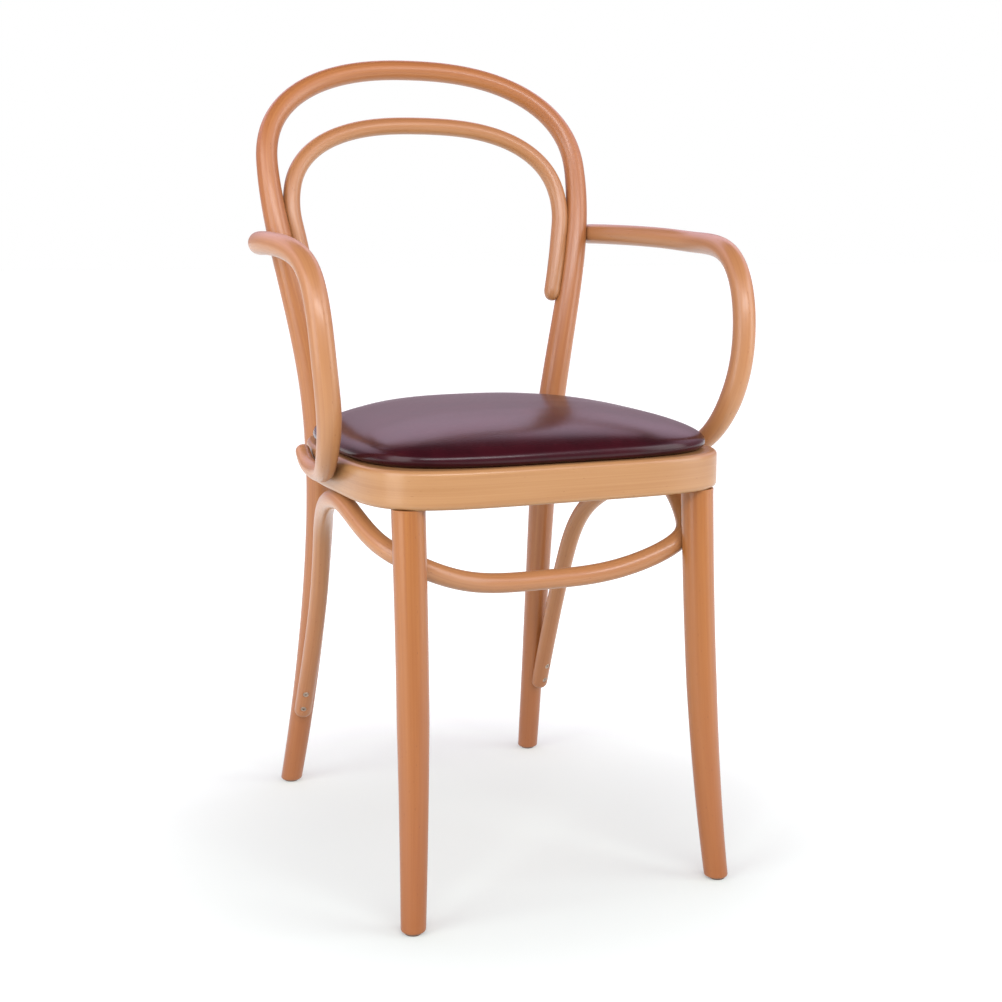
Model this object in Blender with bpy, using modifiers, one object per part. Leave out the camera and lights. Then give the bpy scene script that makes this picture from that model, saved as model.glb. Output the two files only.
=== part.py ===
"""A bentwood armchair with a leather seat pad, modelled piece by piece as its maker puts it together.

The chair stands on the floor at z = 0 and faces -Y, with its middle plane at x = 0. One bent rod makes the
rear legs and the back bow, a second makes the inner bow, and two more make the arms. The seat ring is let in
against the rear rod, stands on the two front legs and carries the pad. One long brace runs from rear leg to
rear leg, under the ring and behind the front legs. Every size is in metres.
"""

import math

import bmesh
import bpy
import numpy as np
from mathutils import Matrix, Vector

# Seat ring: a superellipse in plan, squarer in front than behind
SEAT_HEIGHT = 0.4575
SEAT_HALF_WIDTH = 0.1995
SEAT_FRONT = -0.2395
SEAT_WIDEST = -0.070
SEAT_BACK = 0.164
SEAT_FRONT_SQUARENESS = 4.6
SEAT_BACK_SQUARENESS = 2.8
RING_HEIGHT = 0.0385
RING_WALL = 0.034
RING_EDGE_ROUND = 0.005

# Rear legs and back bow, bent from one rod
BACK_HEIGHT = 0.885
BACK_HALF_WIDTH = 0.1937
BACK_WIDEST_BELOW_TOP = 0.1295
CROWN_SQUARENESS = 2.33
WAIST_HALF_WIDTH = 0.1447
WAIST_HEIGHT = 0.355
WAIST_HOLD = 1.3
REAR_FOOT_HALF_WIDTH = 0.164
REAR_LEG_SPREAD_BEND = 1.6
LUMBAR_HEIGHT = 0.53
REAR_LEG_RAKE = 0.1014
REAR_LEG_BEND = 1.67
BACK_RECLINE = 0.0755
BACK_BEND = 2.1
REAR_FOOT_RADIUS = 0.0148
ROD_SEAT_RADIUS = 0.0167
ROD_ARM_RADIUS = 0.0138
ROD_SHOULDER_RADIUS = 0.0122
ROD_CROWN_RADIUS = 0.0114
RING_LET_IN = 0.0025

# Inner bow: its ends lie along the inner side of the rod
INNER_BOW_BELOW_TOP = 0.068
INNER_BOW_RADIUS = 0.0098
INNER_BOW_ABOVE_ARM = 0.0285
INNER_BOW_BELOW_ARM = 0.0635
INNER_BOW_SQUARENESS = 2.5
INNER_BOW_LET_IN = 0.0015
INNER_BOW_BEHIND = math.radians(5.0)

# Arms: from the outer side of the rod, forward, down and back along the ring. They meet the rod where the
# inner bow lies along it, so their height hangs on the top of the back
ARM_BELOW_TOP = 0.2085
ARM_HALF_WIDTH = 0.2523
ARM_WIDEST = -0.026
ARM_DIP = 0.005
ARM_MID_HALF_WIDTH = 0.2395
ARM_MID = 0.028
ARM_OVERHANG = 0.007
ARM_END_DROP = 0.0015
ARM_LOOP_CENTRE = -0.060
ARM_LOOP_REACH = 0.1095
ARM_LOOP_DROP = 0.0075
ARM_LOOP_TOP_SQUARENESS = 2.65
ARM_LOOP_UPPER_TURNS = (60.0, 32.0, 0.0)
ARM_LOOP_LOWER_TURNS = (28.0, 56.0)
ARM_FRONT_HALF_WIDTH = 0.2318
ARM_SHOULDER_HALF_WIDTH = 0.2405
ARM_SEAT_FRONT = -0.072
ARM_SEAT_BACK = -0.018
ARM_TIP = 0.004
ARM_TIP_RISE = 0.0125
ARM_SEAT_BACK_RISE = 0.003
ARM_RADIUS = 0.0118
ARM_LOOP_RADIUS = 0.0125
ARM_TIP_RADIUS = 0.0080
ARM_THICKENS_FROM = 0.35
ARM_THINS_FROM = 0.7
ARM_LET_IN = 0.003

# Front legs: straight above, flared forward and outward below
FRONT_LEG_HALF_WIDTH = 0.1605
FRONT_LEG_RAKE = 0.025
FRONT_LEG_FLARE = 0.011
FRONT_LEG_SPREAD = 0.0122
FRONT_LEG_SPREAD_BEND = 2.4
FRONT_LEG_TOP_RADIUS = 0.0168
FRONT_LEG_KNEE_RADIUS = 0.0162
FRONT_FOOT_RADIUS = 0.0126
TENON_RADIUS = 0.011
TENON_LENGTH = 0.028
FOOT_ROUND = 0.003

# Leg brace: heights are drops below the underside of the ring
BRACE_RADIUS = 0.0103
BRACE_FRONT = -0.1715
BRACE_FRONT_DROP = 0.091
BRACE_QUARTER_HALF_WIDTH = 0.085
BRACE_QUARTER = -0.1755
BRACE_QUARTER_DROP = 0.085
BRACE_LEG_DROP = 0.058
BRACE_LEG_TURN = math.radians(20.0)
BRACE_CORNER_HALF_WIDTH = 0.1765
BRACE_CORNER = -0.148
BRACE_CORNER_DROP = 0.040
BRACE_ARCH_HALF_WIDTH = 0.1885
BRACE_ARCH = -0.088
BRACE_ARCH_LENGTH = 0.038
BRACE_SHOULDER_HALF_WIDTH = 0.1665
BRACE_SHOULDER = 0.0665
BRACE_SHOULDER_DROP = 0.062
BRACE_SHIN_HALF_WIDTH = 0.1578
BRACE_SHIN = 0.1125
BRACE_SHIN_DROP = 0.1385
BRACE_END_HEIGHT = 0.105
BRACE_END_TURN = math.radians(14.0)
BRACE_LEG_LET_IN = 0.0015
BRACE_END_LET_IN = 0.009

# Seat pad: a board, foam and a leather cover turned under the board
LEATHER = 0.0012
BOARD_THICKNESS = 0.009
BOARD_INSET = 0.0145
PAD_FRONT_SQUARENESS = 3.6
PAD_BACK_SQUARENESS = 2.6
PAD_EDGE_INSET = 0.0095
PAD_BULGE = 0.005
PAD_BULGE_HEIGHT = 0.012
PAD_SIDE_FULLNESS = 0.7
PAD_CROWN = 0.0452
PAD_DOME_SQUARENESS = 2.4
HEM_WIDTH = 0.010

# Fasteners and feet
SCREW_HEAD_RADIUS = 0.0036
SCREW_RADIUS = 0.0020
SCREW_RECESS_RADIUS = 0.0013
SCREW_RECESS_DEPTH = 0.0012
SCREW_POINT = 0.003
SCREW_SINK = 0.0006
SCREW_WELL = 0.004
BRACE_END_SCREW_LENGTH = 0.026
BRACE_END_SCREW_FROM_TIP = 0.008
BRACE_END_SCREW_PITCH = 0.020
BRACE_LEG_SCREW_LENGTH = 0.030
BRACE_RING_SCREW_LENGTH = 0.032
ARM_BOW_SCREW_LENGTH = 0.058
ARM_BOW_SCREW_TURN = math.radians(18.0)
INNER_BOW_SCREW_LENGTH = 0.032
INNER_BOW_SCREW_FROM_END = 0.018
INNER_BOW_SCREW_TURN = math.radians(40.0)
ARM_RING_SCREW_LENGTH = 0.044
SEAT_SCREW_LENGTH = 0.026
SEAT_SCREW_INSET = 0.0265
SEAT_SCREW_HEAD_DEPTH = 0.020
SEAT_SCREW_FRONT = -0.150
SEAT_SCREW_REAR = 0.060
BOLT_RADIUS = 0.003
BOLT_HEAD_RADIUS = 0.0062
BOLT_HEAD_HEIGHT = 0.005
BOLT_INTO_ROD = 0.018
WASHER_RADIUS = 0.009
WASHER_THICKNESS = 0.0015
SPOT_FACE = 0.0012
GLIDE_RADIUS = 0.0085
GLIDE_HEIGHT = 0.002
GLIDE_PIN_RADIUS = 0.0015
GLIDE_PIN_LENGTH = 0.012

# Gap that pieces keep where they touch
CLEARANCE = 0.0003

# How finely curves are cut
ROD_SIDES = 14
THIN_ROD_SIDES = 12
BACK_FRAME_STEPS = 79
INNER_BOW_STEPS = 45
ARM_STEPS = 42
LEG_STEPS = 16
BRACE_STEPS = 81
RING_POINTS = 56
PAD_POINTS = 44
SCREW_SIDES = 8
BOLT_SIDES = 6
GLIDE_SIDES = 10
NOSE_TURNS = (math.radians(35.0), math.radians(62.0), math.radians(82.0))

OUTLINE_FINE = 1600
OUTLINE_QUARTER_POINTS = 400
OUTLINE_HALF_POINTS = 800
BRACE_FINE = 4000
INNER_BOW_SIDE_KNOTS = 5
INNER_BOW_TOP_KNOTS = 7
HALVINGS = 50
ARCH_TRIES = 6
SMOOTH_ANGLE = math.radians(40.0)
FOOT_EDGE_ANGLE = math.radians(50.0)
FOOT_ROUND_STEPS = 2
PATH_FINE = 25
PATH_EASE = 0.75
ROD_UPRIGHT_POINTS = 160

BELOW_FOOT = -2 * FOOT_ROUND
FLOOR_BLOCK = 3 * (SEAT_BACK - SEAT_FRONT)
RING_UNDERSIDE = SEAT_HEIGHT - RING_HEIGHT
RING_MIDDLE = SEAT_HEIGHT - RING_HEIGHT / 2
CROWN_CENTRE = BACK_HEIGHT - ROD_CROWN_RADIUS
BACK_WIDEST_HEIGHT = BACK_HEIGHT - BACK_WIDEST_BELOW_TOP
ARM_HEIGHT = BACK_HEIGHT - ARM_BELOW_TOP
ARM_LOOP_TOP = ARM_HEIGHT - ARM_LOOP_DROP
ARM_LOOP_HEIGHT = (RING_MIDDLE + ARM_LOOP_TOP) / 2
INNER_BOW_TOP = BACK_HEIGHT - INNER_BOW_BELOW_TOP
INNER_BOW_WIDEST_HEIGHT = ARM_HEIGHT + INNER_BOW_ABOVE_ARM
INNER_BOW_END_HEIGHT = ARM_HEIGHT - INNER_BOW_BELOW_ARM
MIRROR = np.array((-1.0, 1.0, 1.0))
SIDES = {"right": np.ones(3), "left": MIRROR}

BEECH = {"colour": (0.52, 0.25, 0.10, 1.0), "roughness": 0.42, "metallic": 0.0}
PLYWOOD = {"colour": (0.56, 0.36, 0.18, 1.0), "roughness": 0.6, "metallic": 0.0}
FOAM = {"colour": (0.78, 0.72, 0.52, 1.0), "roughness": 0.9, "metallic": 0.0}
HIDE = {"colour": (0.052, 0.010, 0.017, 1.0), "roughness": 0.3, "metallic": 0.0}
STEEL = {"colour": (0.56, 0.55, 0.53, 1.0), "roughness": 0.35, "metallic": 1.0}
NYLON = {"colour": (0.20, 0.13, 0.08, 1.0), "roughness": 0.5, "metallic": 0.0}


# Scene

def clear_scene():
    for item in list(bpy.data.objects):
        bpy.data.objects.remove(item, do_unlink=True)


def new_collection(name):
    collection = bpy.data.collections.new(name)
    bpy.context.scene.collection.children.link(collection)
    return collection


clear_scene()
PARTS = new_collection("armchair")
CUTTERS = new_collection("armchair_cutters")
CHAIR = bpy.data.objects.new("armchair_frame", None)
PARTS.objects.link(CHAIR)


def finish_material(name, finish):
    material = bpy.data.materials.new(name)
    material.use_nodes = True
    shader = material.node_tree.nodes["Principled BSDF"]
    shader.inputs["Base Color"].default_value = finish["colour"]
    shader.inputs["Roughness"].default_value = finish["roughness"]
    shader.inputs["Metallic"].default_value = finish["metallic"]
    return material


def add_part(name, mesh, finish):
    """One piece of the chair, with its own material."""
    mesh.materials.clear()
    mesh.materials.append(finish_material(name, finish))
    mesh.shade_smooth()
    mesh.set_sharp_from_angle(angle=SMOOTH_ANGLE)
    part = bpy.data.objects.new(name, mesh)
    part.parent = CHAIR
    PARTS.objects.link(part)
    return part


def add_cutter(name, mesh):
    """A shape that is only taken out of other pieces."""
    cutter = bpy.data.objects.new(name, mesh)
    cutter.parent = CHAIR
    cutter.hide_render = True
    cutter.display_type = "WIRE"
    CUTTERS.objects.link(cutter)
    return cutter


def cut(part, cutter):
    """Takes the cutter's shape out of the part."""
    modifier = part.modifiers.new(cutter.name, "BOOLEAN")
    modifier.operation = "DIFFERENCE"
    modifier.solver = "EXACT"
    modifier.object = cutter


# Lines and outlines

def unit(vector):
    vector = np.asarray(vector, float)
    return vector / np.linalg.norm(vector)


def even_points(line, count):
    """Points at equal steps along a polyline."""
    line = np.asarray(line, float)
    length = np.concatenate([[0.0], np.cumsum(np.linalg.norm(np.diff(line, axis=0), axis=1))])
    at = np.linspace(0.0, length[-1], count)
    return np.stack([np.interp(at, length, line[:, axis]) for axis in range(line.shape[1])], axis=1)


def smooth_path(knots, count):
    """Equal steps along a natural cubic curve through the knots."""
    knots = np.array(knots, float)
    last = len(knots) - 1
    gap = np.linalg.norm(np.diff(knots, axis=0), axis=1) ** PATH_EASE
    system = np.eye(last + 1)
    pull = np.zeros_like(knots)
    for i in range(1, last):
        system[i, i - 1:i + 2] = gap[i - 1], 2 * (gap[i - 1] + gap[i]), gap[i]
        pull[i] = 6 * ((knots[i + 1] - knots[i]) / gap[i] - (knots[i] - knots[i - 1]) / gap[i - 1])
    bend = np.linalg.solve(system, pull)
    dense = [knots[0]]
    for i in range(last):
        for t in np.linspace(0.0, gap[i], PATH_FINE)[1:]:
            s = gap[i] - t
            point = (bend[i] * s ** 3 + bend[i + 1] * t ** 3) / (6 * gap[i])
            point = point + (knots[i] / gap[i] - bend[i] * gap[i] / 6) * s
            dense.append(point + (knots[i + 1] / gap[i] - bend[i + 1] * gap[i] / 6) * t)
    return even_points(dense, count)


def nearest(line, point):
    """The point of a line of points that lies nearest to a point."""
    return line[np.argmin(np.linalg.norm(line - point, axis=1))]


def at_height(line, height):
    """The point of a line of points, here a rising one, at a height."""
    return line[np.argmin(np.abs(line[:, 2] - height))]


def superellipse(turn, reach_across, reach_along, squareness):
    """A point of a superellipse's quarter at a turn from its first axis."""
    return reach_across * np.cos(turn) ** (2 / squareness), reach_along * np.sin(turn) ** (2 / squareness)


def seat_outline(inset, count, squareness=(SEAT_FRONT_SQUARENESS, SEAT_BACK_SQUARENESS)):
    """The seat's outline drawn in by inset: count points from the front middle round by the right side."""
    quarter = np.linspace(0.0, math.pi / 2, OUTLINE_QUARTER_POINTS)
    x, y = superellipse(quarter, SEAT_HALF_WIDTH, SEAT_WIDEST - SEAT_FRONT, squareness[0])
    front = np.stack([x, SEAT_WIDEST - y], axis=1)[::-1]
    x, y = superellipse(quarter, SEAT_HALF_WIDTH, SEAT_BACK - SEAT_WIDEST, squareness[1])
    back = np.stack([x, SEAT_WIDEST + y], axis=1)
    half = even_points(np.concatenate([front, back[1:]]), OUTLINE_HALF_POINTS)
    along = np.gradient(half, axis=0)
    along = along / np.linalg.norm(along, axis=1)[:, None]
    half = half + inset * np.stack([-along[:, 1], along[:, 0]], axis=1)
    half = even_points(half, count // 2 + 1)
    half[[0, -1], 0] = 0.0
    return np.concatenate([half, (half * (-1.0, 1.0))[-2:0:-1]])


def seat_side(depth, inset):
    """The point of the outline's right side at a depth, and the way out of the seat there."""
    half = seat_outline(inset, OUTLINE_FINE)[:OUTLINE_FINE // 2]
    side = half[half[:, 0] > SEAT_HALF_WIDTH / 2]
    i = np.argmin(np.abs(side[1:-1, 1] - depth)) + 1
    along = unit(side[i + 1] - side[i - 1])
    return side[i], np.array((along[1], -along[0]))


# Meshes

def welded(mesh):
    """Closes a mesh where its points coincide, and turns its faces outward."""
    shape = bmesh.new()
    shape.from_mesh(mesh)
    bmesh.ops.remove_doubles(shape, verts=shape.verts, dist=1e-6)
    bmesh.ops.recalc_face_normals(shape, faces=shape.faces)
    shape.to_mesh(mesh)
    shape.free()
    return mesh


def curve_mesh(curve):
    """The closed mesh of a curve with its section."""
    holder = bpy.data.objects.new(curve.name, curve)
    bpy.context.scene.collection.objects.link(holder)
    mesh = bpy.data.meshes.new_from_object(holder.evaluated_get(bpy.context.evaluated_depsgraph_get()))
    bpy.data.objects.remove(holder, do_unlink=True)
    return welded(mesh)


def add_spline(curve, points, radii=None, closed=False):
    spline = curve.splines.new("POLY")
    spline.points.add(len(points) - 1)
    spline.use_cyclic_u = closed
    for i, point in enumerate(points):
        place = tuple(point) if len(point) == 3 else (*point, 0.0)
        spline.points[i].co = (*place, 1.0)
        spline.points[i].radius = 1.0 if radii is None else radii[i]


def rod_mesh(name, points, radii, sides):
    """A round rod along points, as thick at each as its radius says."""
    curve = bpy.data.curves.new(name, "CURVE")
    curve.dimensions = "3D"
    curve.bevel_depth = 1.0
    curve.bevel_resolution = sides // 2 - 2
    curve.use_fill_caps = True
    add_spline(curve, points, radii)
    return curve_mesh(curve)


def rounded_end(points, radii):
    """Adds a rounded nose after the last point of a rod."""
    way = unit(points[-1] - points[-2])
    nose = [points[-1] + way * radii[-1] * math.sin(turn) for turn in NOSE_TURNS]
    thin = [radii[-1] * math.cos(turn) for turn in NOSE_TURNS]
    return np.concatenate([points, nose]), np.concatenate([radii, thin])


def rounded_start(points, radii):
    points, radii = rounded_end(points[::-1], radii[::-1])
    return points[::-1], radii[::-1]


def plate_mesh(name, outline, thickness):
    """A flat plate of one outline, centred on its own height."""
    curve = bpy.data.curves.new(name, "CURVE")
    curve.dimensions = "2D"
    curve.fill_mode = "BOTH"
    curve.extrude = thickness / 2
    add_spline(curve, outline, closed=True)
    return curve_mesh(curve)


def ring_mesh(name, grow):
    """The seat ring: its rounded section carried round the outline. grow makes it fatter all over."""
    section = bpy.data.curves.new(name + "_section", "CURVE")
    section.dimensions = "2D"
    half_wall = RING_WALL / 2 + grow
    half_height = RING_HEIGHT / 2 + grow
    corners = []
    for middle in range(4):
        for step in (-1, 0, 1):
            turn = math.pi / 4 + middle * math.pi / 2 + step * math.pi / 4
            across = math.copysign(half_wall - RING_EDGE_ROUND, math.cos(math.pi / 4 + middle * math.pi / 2))
            up = math.copysign(half_height - RING_EDGE_ROUND, math.sin(math.pi / 4 + middle * math.pi / 2))
            corners.append((across + RING_EDGE_ROUND * math.cos(turn), up + RING_EDGE_ROUND * math.sin(turn)))
    add_spline(section, corners, closed=True)
    profile = bpy.data.objects.new(name + "_section", section)
    bpy.context.scene.collection.objects.link(profile)
    curve = bpy.data.curves.new(name, "CURVE")
    curve.dimensions = "3D"
    curve.twist_mode = "Z_UP"
    curve.bevel_mode = "OBJECT"
    curve.bevel_object = profile
    line = seat_outline(RING_WALL / 2, RING_POINTS)
    add_spline(curve, [(x, y, RING_MIDDLE) for x, y in line], closed=True)
    mesh = curve_mesh(curve)
    bpy.data.objects.remove(profile, do_unlink=True)
    return mesh


def lofted(name, rings, top, bottom):
    """Skins rings of points from the lowest up. top and bottom are points that close an end, or None."""
    shape = bmesh.new()
    rows = [[shape.verts.new(point) for point in ring] for ring in rings]
    count = len(rows[0])
    for low, high in zip(rows, rows[1:]):
        for i in range(count):
            shape.faces.new((low[i], low[(i + 1) % count], high[(i + 1) % count], high[i]))
    for end, row in ((top, rows[-1]), (bottom, rows[0])):
        if end is not None:
            peak = shape.verts.new(end)
            for i in range(count):
                shape.faces.new((row[i], row[(i + 1) % count], peak))
    bmesh.ops.recalc_face_normals(shape, faces=shape.faces)
    mesh = bpy.data.meshes.new(name)
    shape.to_mesh(mesh)
    shape.free()
    return mesh


def turned_mesh(name, profile):
    """The half outline of a turned piece, as radius and height down its outer side."""
    mesh = bpy.data.meshes.new(name)
    points = [(radius, 0.0, height) for radius, height in profile]
    mesh.from_pydata(points, [(i, i + 1) for i in range(len(points) - 1)], [])
    return mesh


def turn(piece, sides):
    """Spins a turned piece's half outline round its own axis."""
    modifier = piece.modifiers.new("turned", "SCREW")
    modifier.axis = "Z"
    modifier.steps = modifier.render_steps = sides
    modifier.use_merge_vertices = True
    modifier.merge_threshold = 1e-6


def aim(piece, place, way):
    """Sets a turned piece with its top at a place and its axis running down along a way."""
    piece.location = place
    piece.rotation_mode = "QUATERNION"
    piece.rotation_quaternion = Vector(-np.asarray(way)).to_track_quat("Z", "Y")


# Centre lines of the bent rods, on the right side

def rod_half_width(height):
    if height < WAIST_HEIGHT:
        drop = (1 - height / WAIST_HEIGHT) ** REAR_LEG_SPREAD_BEND
        return WAIST_HALF_WIDTH + (REAR_FOOT_HALF_WIDTH - WAIST_HALF_WIDTH) * drop
    rise = ((height - WAIST_HEIGHT) / (BACK_WIDEST_HEIGHT - WAIST_HEIGHT)) ** WAIST_HOLD
    return WAIST_HALF_WIDTH + (BACK_HALF_WIDTH - WAIST_HALF_WIDTH) * rise * rise * (3 - 2 * rise)


def rod_lean(height):
    """How far behind its foremost point, at the lumbar height, the rod lies."""
    if height < LUMBAR_HEIGHT:
        return REAR_LEG_RAKE * ((LUMBAR_HEIGHT - height) / LUMBAR_HEIGHT) ** REAR_LEG_BEND
    return BACK_RECLINE * ((height - LUMBAR_HEIGHT) / (CROWN_CENTRE - LUMBAR_HEIGHT)) ** BACK_BEND


def rod_radius(heights):
    marks = (0.0, RING_MIDDLE, ARM_HEIGHT, BACK_WIDEST_HEIGHT, CROWN_CENTRE)
    radii = (REAR_FOOT_RADIUS, ROD_SEAT_RADIUS, ROD_ARM_RADIUS, ROD_SHOULDER_RADIUS, ROD_CROWN_RADIUS)
    return np.interp(heights, marks, radii)


def lumbar_depth():
    """Depth of the rod's foremost point, where the rod is let into the ring behind its widest line."""
    ring = seat_outline(0.0, OUTLINE_FINE)
    half_width = rod_half_width(RING_MIDDLE)
    wanted = float(rod_radius(RING_MIDDLE)) - RING_LET_IN
    rear = ring[(ring[:, 0] > 0.0) & (ring[:, 1] > SEAT_WIDEST)]
    near = rear[np.argmin(np.abs(rear[:, 0] - half_width)), 1]
    far = near + 4 * ROD_SEAT_RADIUS
    for _ in range(HALVINGS):
        middle = (near + far) / 2
        if np.linalg.norm(ring - (half_width, middle), axis=1).min() < wanted:
            near = middle
        else:
            far = middle
    return far - rod_lean(RING_MIDDLE)


def rod_line():
    """The rear rod from below the right foot up to the middle of the crown."""
    heights = np.linspace(BELOW_FOOT, BACK_WIDEST_HEIGHT, ROD_UPRIGHT_POINTS)
    line = [(rod_half_width(max(z, 0.0)), LUMBAR + rod_lean(z), z) for z in heights]
    for angle in np.linspace(0.0, math.pi / 2, ROD_UPRIGHT_POINTS)[1:]:
        x, rise = superellipse(angle, BACK_HALF_WIDTH, CROWN_CENTRE - BACK_WIDEST_HEIGHT, CROWN_SQUARENESS)
        z = BACK_WIDEST_HEIGHT + rise
        line.append((x, LUMBAR + rod_lean(z), z))
    line[-1] = (0.0, line[-1][1], line[-1][2])
    return np.array(line)


def inner_bow_line():
    """The inner bow from its right end up to the middle of its top."""
    top = INNER_BOW_TOP - INNER_BOW_RADIUS
    beside = float(rod_radius(INNER_BOW_WIDEST_HEIGHT)) + INNER_BOW_RADIUS - INNER_BOW_LET_IN
    inward = beside * math.cos(INNER_BOW_BEHIND)
    behind = beside * math.sin(INNER_BOW_BEHIND)
    half_width = rod_half_width(INNER_BOW_WIDEST_HEIGHT) - inward
    knots = []
    for z in np.linspace(INNER_BOW_END_HEIGHT, INNER_BOW_WIDEST_HEIGHT, INNER_BOW_SIDE_KNOTS)[:-1]:
        knots.append((rod_half_width(z) - inward, LUMBAR + rod_lean(z) + behind, z))
    for angle in np.linspace(0.0, math.pi / 2, INNER_BOW_TOP_KNOTS):
        x, rise = superellipse(angle, half_width, top - INNER_BOW_WIDEST_HEIGHT, INNER_BOW_SQUARENESS)
        z = INNER_BOW_WIDEST_HEIGHT + rise
        knots.append((x, LUMBAR + rod_lean(z) + behind * math.cos(angle), z))
    knots[-1] = (0.0, knots[-1][1], knots[-1][2])
    return knots


def front_leg_line():
    """The right front leg from below its foot to the ring, under the middle of the ring's wall."""
    wall = seat_outline(RING_WALL / 2, OUTLINE_FINE)
    front = wall[(wall[:, 0] > 0.0) & (wall[:, 1] < SEAT_WIDEST)]
    top = front[np.argmin(np.abs(front[:, 0] - FRONT_LEG_HALF_WIDTH)), 1]
    collar = RING_UNDERSIDE - 2 * FOOT_ROUND
    line = []
    for z in np.linspace(BELOW_FOOT, collar, LEG_STEPS):
        down = (collar - z) / collar
        x = FRONT_LEG_HALF_WIDTH + FRONT_LEG_SPREAD * down ** FRONT_LEG_SPREAD_BEND
        line.append((x, top - FRONT_LEG_RAKE * down - FRONT_LEG_FLARE * down ** 3, z))
    line.append((FRONT_LEG_HALF_WIDTH, top, RING_UNDERSIDE - CLEARANCE))
    return np.array(line)


def front_leg_radius(heights):
    marks = (0.0, RING_UNDERSIDE / 2, RING_UNDERSIDE)
    return np.interp(heights, marks, (FRONT_FOOT_RADIUS, FRONT_LEG_KNEE_RADIUS, FRONT_LEG_TOP_RADIUS))


def arm_line():
    """The right arm from behind the rod to its tip behind the seat joint."""
    rod = at_height(UPRIGHT, ARM_HEIGHT)
    beside = rod[0] + float(rod_radius(ARM_HEIGHT)) + ARM_RADIUS - ARM_LET_IN
    knots = [
        (beside, rod[1] + ARM_OVERHANG, ARM_HEIGHT - ARM_END_DROP),
        (beside, rod[1], ARM_HEIGHT),
        (ARM_MID_HALF_WIDTH, ARM_MID, ARM_HEIGHT - ARM_DIP / 2),
        (ARM_HALF_WIDTH, ARM_WIDEST, ARM_HEIGHT - ARM_DIP),
    ]
    for degrees in ARM_LOOP_UPPER_TURNS:
        turn_up = math.radians(degrees)
        forward, rise = superellipse(
            turn_up, ARM_LOOP_REACH, ARM_LOOP_TOP - ARM_LOOP_HEIGHT, ARM_LOOP_TOP_SQUARENESS)
        share = degrees / ARM_LOOP_UPPER_TURNS[0]
        x = ARM_FRONT_HALF_WIDTH + (ARM_SHOULDER_HALF_WIDTH - ARM_FRONT_HALF_WIDTH) * share
        knots.append((x, ARM_LOOP_CENTRE - forward, ARM_LOOP_HEIGHT + rise))
    seat, _ = seat_side(ARM_SEAT_FRONT, 0.0)
    foot = seat[0] + ARM_RADIUS - ARM_LET_IN
    for degrees in ARM_LOOP_LOWER_TURNS:
        turn_down = math.radians(degrees)
        forward = ARM_LOOP_REACH * math.cos(turn_down)
        fall = (ARM_LOOP_HEIGHT - RING_MIDDLE) * math.sin(turn_down)
        x = ARM_FRONT_HALF_WIDTH + (foot - ARM_FRONT_HALF_WIDTH) * degrees / 90.0
        knots.append((x, ARM_LOOP_CENTRE - forward, ARM_LOOP_HEIGHT - fall))
    for depth, rise in ((ARM_SEAT_FRONT, 0.0), (ARM_SEAT_BACK, ARM_SEAT_BACK_RISE), (ARM_TIP, ARM_TIP_RISE)):
        seat, _ = seat_side(depth, 0.0)
        knots.append((seat[0] + ARM_RADIUS - ARM_LET_IN, depth, RING_MIDDLE + rise))
    return smooth_path(knots, ARM_STEPS)


def brace_knots(arch):
    """Knots of the brace's right half, from its front middle to the rear leg. arch is its top height."""
    height = RING_UNDERSIDE - BRACE_LEG_DROP
    leg = at_height(LEG, height)
    off_leg = float(front_leg_radius(height)) + BRACE_RADIUS - BRACE_LEG_LET_IN
    rear = at_height(UPRIGHT, BRACE_END_HEIGHT)
    off_rear = float(rod_radius(BRACE_END_HEIGHT)) + BRACE_RADIUS - BRACE_END_LET_IN
    end = rear[:2] + off_rear * np.array((math.sin(BRACE_END_TURN), -math.cos(BRACE_END_TURN)))
    return [
        (0.0, BRACE_FRONT, RING_UNDERSIDE - BRACE_FRONT_DROP),
        (BRACE_QUARTER_HALF_WIDTH, BRACE_QUARTER, RING_UNDERSIDE - BRACE_QUARTER_DROP),
        (leg[0] - off_leg * math.sin(BRACE_LEG_TURN), leg[1] + off_leg * math.cos(BRACE_LEG_TURN), height),
        (BRACE_CORNER_HALF_WIDTH, BRACE_CORNER, RING_UNDERSIDE - BRACE_CORNER_DROP),
        (BRACE_ARCH_HALF_WIDTH, BRACE_ARCH, arch),
        (BRACE_ARCH_HALF_WIDTH, BRACE_ARCH + BRACE_ARCH_LENGTH, arch),
        (BRACE_SHOULDER_HALF_WIDTH, BRACE_SHOULDER, RING_UNDERSIDE - BRACE_SHOULDER_DROP),
        (BRACE_SHIN_HALF_WIDTH, BRACE_SHIN, RING_UNDERSIDE - BRACE_SHIN_DROP),
        (*end, BRACE_END_HEIGHT),
    ]


def brace_line():
    """The whole brace, with the top of its arch just under the ring."""
    wanted = RING_UNDERSIDE - CLEARANCE - BRACE_RADIUS
    arch = wanted
    for _ in range(ARCH_TRIES):
        line = smooth_path(mirrored(brace_knots(arch)), BRACE_STEPS)
        arch += wanted - line[:, 2].max()
    return line


def mirrored(half):
    """A whole line from its right half, which starts at the middle."""
    half = np.array(half, float)
    return np.concatenate([(half * MIRROR)[:0:-1], half])


LUMBAR = lumbar_depth()
ROD = rod_line()
UPRIGHT = ROD[:ROD_UPRIGHT_POINTS]
LEG = front_leg_line()
ARM = arm_line()
BRACE = brace_line()
INNER_BOW = smooth_path(mirrored(inner_bow_line()[::-1]), INNER_BOW_STEPS)


# Wooden pieces

def stand_flat(part):
    """Cuts a leg level above its glide and rounds the edge of its foot."""
    cut(part, FLOOR)
    rounding = part.modifiers.new("foot_round", "BEVEL")
    rounding.width = FOOT_ROUND
    rounding.segments = FOOT_ROUND_STEPS
    rounding.limit_method = "ANGLE"
    rounding.angle_limit = FOOT_EDGE_ANGLE


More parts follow.
